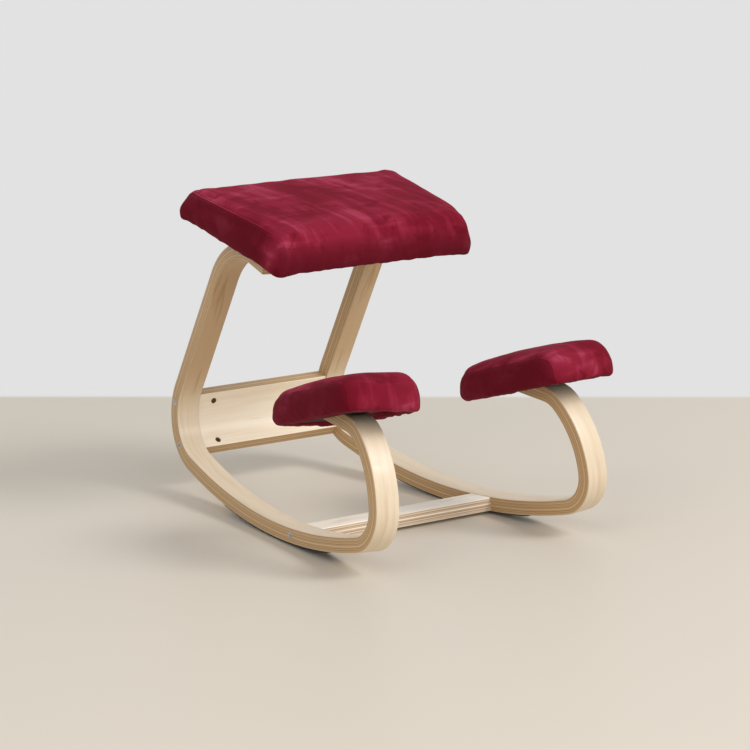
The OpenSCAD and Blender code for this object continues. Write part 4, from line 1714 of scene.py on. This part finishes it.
@dataclass(frozen=True)
class Fittings:
    """The CAD nodes that keep their shape, by finish."""

    steel: tuple[str, ...] = (
        "rear_crossbar_bolts", "front_crossbar_bolts", "seat_bolts", "seat_t_nuts", "right_knee_bolts",
        "right_knee_t_nuts", "left_knee_bolts", "left_knee_t_nuts",
    )
    browned_steel: tuple[str, ...] = ("rear_barrel_nuts", "front_barrel_nuts")
    felt: tuple[str, ...] = ("right_floor_strip", "left_floor_strip")
    wood: tuple[str, ...] = ("seat_board", "right_knee_board", "left_knee_board", "crossbar_dowels")
    dust_cloth: tuple[str, ...] = ("seat_dust_cover", "right_knee_dust_cover", "left_knee_dust_cover")

    def dress(self) -> None:
        """Gives each node its material."""
        birch = Birch("birch_board", 0.012, 8, own_grain=False)
        browned = Steel("browned_steel", srgb(112, 92, 70), srgb(66, 52, 38))
        felt = Matt("dark_felt", srgb(74, 66, 58), srgb(44, 39, 35), 90.0)
        cloth = Matt("dust_cloth", srgb(38, 37, 38), srgb(20, 19, 20), 60.0, 420.0)
        finishes = (
            (self.steel, Steel()), (self.browned_steel, browned), (self.felt, felt), (self.wood, birch),
            (self.dust_cloth, cloth),
        )
        for names, finish in finishes:
            material = finish.build()
            for name in names:
                materials = bpy.data.objects[name].data.materials
                materials.clear()
                materials.append(material)
                log.info("dressed %s", name)


# Studio

@dataclass(frozen=True)
class Lamp:
    """A square lamp that looks at the chair. Its power is watts."""

    name: str
    place: tuple[float, float, float]
    size: float
    power: float
    aim: tuple[float, float, float] = (0, 0, 0.25)

    def build(self) -> None:
        """Adds the lamp to the scene."""
        lamp = bpy.data.lights.new(self.name, "AREA")
        lamp.shape = "SQUARE"
        lamp.size = self.size
        lamp.energy = self.power
        holder = bpy.data.objects.new(self.name, lamp)
        turn = (Vector(self.aim) - Vector(self.place)).to_track_quat("-Z", "Y").to_matrix().to_4x4()
        holder.matrix_world = Matrix.Translation(self.place) @ turn
        bpy.context.scene.collection.objects.link(holder)


@dataclass(frozen=True)
class Studio:
    """The pale floor and backdrop, the soft lights and the camera. Angles are degrees."""

    position: Vector = Vector((-2.9201, -4.1288, 1.3547))
    yaw: float = 35.3874
    pitch: float = 12.3281
    roll: float = 0.034
    lens: float = 145.28
    sensor: float = 36.0
    far: float = 50.0
    floor: Colour = srgb(216, 207, 192)
    backdrop: Colour = srgb(226, 226, 226)
    daylight: Colour = srgb(250, 250, 252)
    floor_end: float = 0.92
    floor_fade: float = 0.03
    half_width: float = 14.0
    clearance: float = 0.0004
    world_strength: float = 0.58
    lamps: tuple[Lamp, ...] = (
        Lamp("key", (2.8, -4.5, 4.9), 2.4, 236.0),
        Lamp("front_fill", (-0.6, -6.5, 3.2), 3.0, 74.0),
        Lamp("side_fill", (-4.4, -2.4, 3.4), 3.0, 60.0),
    )

    def build_camera(self) -> None:
        """Places the camera and makes it the scene's own."""
        camera = bpy.data.cameras.new("camera")
        camera.lens = self.lens
        camera.sensor_width = self.sensor
        camera.sensor_fit = "HORIZONTAL"
        camera.clip_end = self.far
        yaw, tilt, roll = (math.radians(angle) for angle in (-self.yaw, 90 - self.pitch, self.roll))
        turn = Matrix.Rotation(yaw, 4, "Z") @ Matrix.Rotation(tilt, 4, "X") @ Matrix.Rotation(roll, 4, "Z")
        holder = bpy.data.objects.new("camera", camera)
        holder.matrix_world = Matrix.Translation(self.position) @ turn
        bpy.context.scene.collection.objects.link(holder)
        bpy.context.scene.camera = holder

    def build_floor(self) -> None:
        """Makes the level floor, just under the chair."""
        bm = bmesh.new()
        bmesh.ops.create_grid(bm, x_segments=1, y_segments=1, size=self.half_width,
                              matrix=Matrix.Translation((0, 0, -self.clearance)))
        stage = to_object("studio_floor", bm)
        stage.data.materials.append(self.floor_material())

    def floor_material(self) -> bpy.types.Material:
        """Makes the floor's surface, which turns into the plain pale backdrop behind the chair.

        Returns:
            The finished material.
        """
        material, sheet, shader = new_material("studio_surface")
        sheet.fill(shader, {"Base Color": self.floor, "Roughness": 0.45, "Specular IOR Level": 0.25})
        yaw = math.radians(self.yaw)
        inputs = {0: sheet.place(), 1: (math.sin(yaw), math.cos(yaw), 0.0)}
        behind = sheet.read("ShaderNodeVectorMath", "Value", inputs, operation="DOT_PRODUCT")
        share = behind.fade(self.floor_end, self.floor_end + self.floor_fade) * self.seen(sheet)
        pale = sheet.read("ShaderNodeEmission", 0, {"Color": self.backdrop, "Strength": 1.0})
        plain = Signal(sheet, shader.outputs[0])
        surface = sheet.read("ShaderNodeMixShader", 0, {0: share, 1: plain, 2: pale})
        sheet.fill(material.node_tree.nodes["Material Output"], {"Surface": surface})
        return material

    @staticmethod
    def seen(sheet: NodeSheet) -> Signal:
        """Gives 1 for the rays that show a surface to the camera, straight or by way of gloss or glass.

        Args:
            sheet: The material's or the world's nodes.

        Returns:
            The share.
        """
        path = sheet.node("ShaderNodeLightPath", {}).outputs
        kinds = ("Camera", "Glossy", "Transmission")
        camera, gloss, glass = (Signal(sheet, path[f"Is {kind} Ray"]) for kind in kinds)
        return sheet.maths("ADD", camera + gloss, glass, True)

    def build_light(self) -> None:
        """Sets the lamps, the world and the view transform."""
        for lamp in self.lamps:
            lamp.build()
        world = bpy.data.worlds.new("studio")
        world.use_nodes = True
        sheet = NodeSheet(world.node_tree)
        seen = self.seen(sheet)
        sheet.fill(world.node_tree.nodes["Background"], {
            "Color": sheet.mix(seen, self.daylight, self.backdrop),
            "Strength": seen.fade(0.0, 1.0, self.world_strength, 1.0),
        })
        bpy.context.scene.world = world
        bpy.context.scene.view_settings.view_transform = "Standard"


def build_chair() -> None:
    """Builds and dresses every piece of the chair."""
    bars = Crossbars(RockerRunner(Side.LEFT))
    runner_birch = Birch("birch_runner", bars.runner.thickness, 11)
    rear_birch = Birch("birch_rear_panel", bars.rear_thickness, 9, pale=srgb(244, 229, 206),
                       streak=srgb(226, 203, 168))
    # The front bar's birch is painted paler than the runners': painted light on its lit top and front.
    front_birch_painted_light = Birch("birch_front_bar_painted_light", bars.front_thickness, 8, pale=srgb(250, 242, 228),
                        streak=srgb(226, 206, 176), edge_pale=srgb(250, 240, 222), vein_share=0.5)
    runner_finish = runner_birch.build()
    for side in Side:
        RockerRunner(side).build(runner_finish)
    bars.build_rear(rear_birch.build())
    bars.build_front(front_birch_painted_light.build())
    velour = Velour().build()
    seat_nodes = ("seat_cover", "seat_foam")
    Cushion("seat_cushion", seat_nodes, SEAT_FORM, LAYOUT.seat(), tuple(Side)).build(velour)
    for side in Side:
        nodes = (side.named("knee_cover"), side.named("knee_foam"))
        Cushion(side.named("knee_cushion"), nodes, KNEE_FORM, LAYOUT.knee(side), seed=5.0 + side.value,
                lean_side=side.value).build(velour)
    Fittings().dress()


def main() -> None:
    """Builds the studio and the chair."""
    logging.basicConfig(level=logging.INFO, format="%(message)s")
    studio = Studio()
    studio.build_camera()
    studio.build_floor()
    studio.build_light()
    build_chair()


if __name__ == "__main__":
    main()
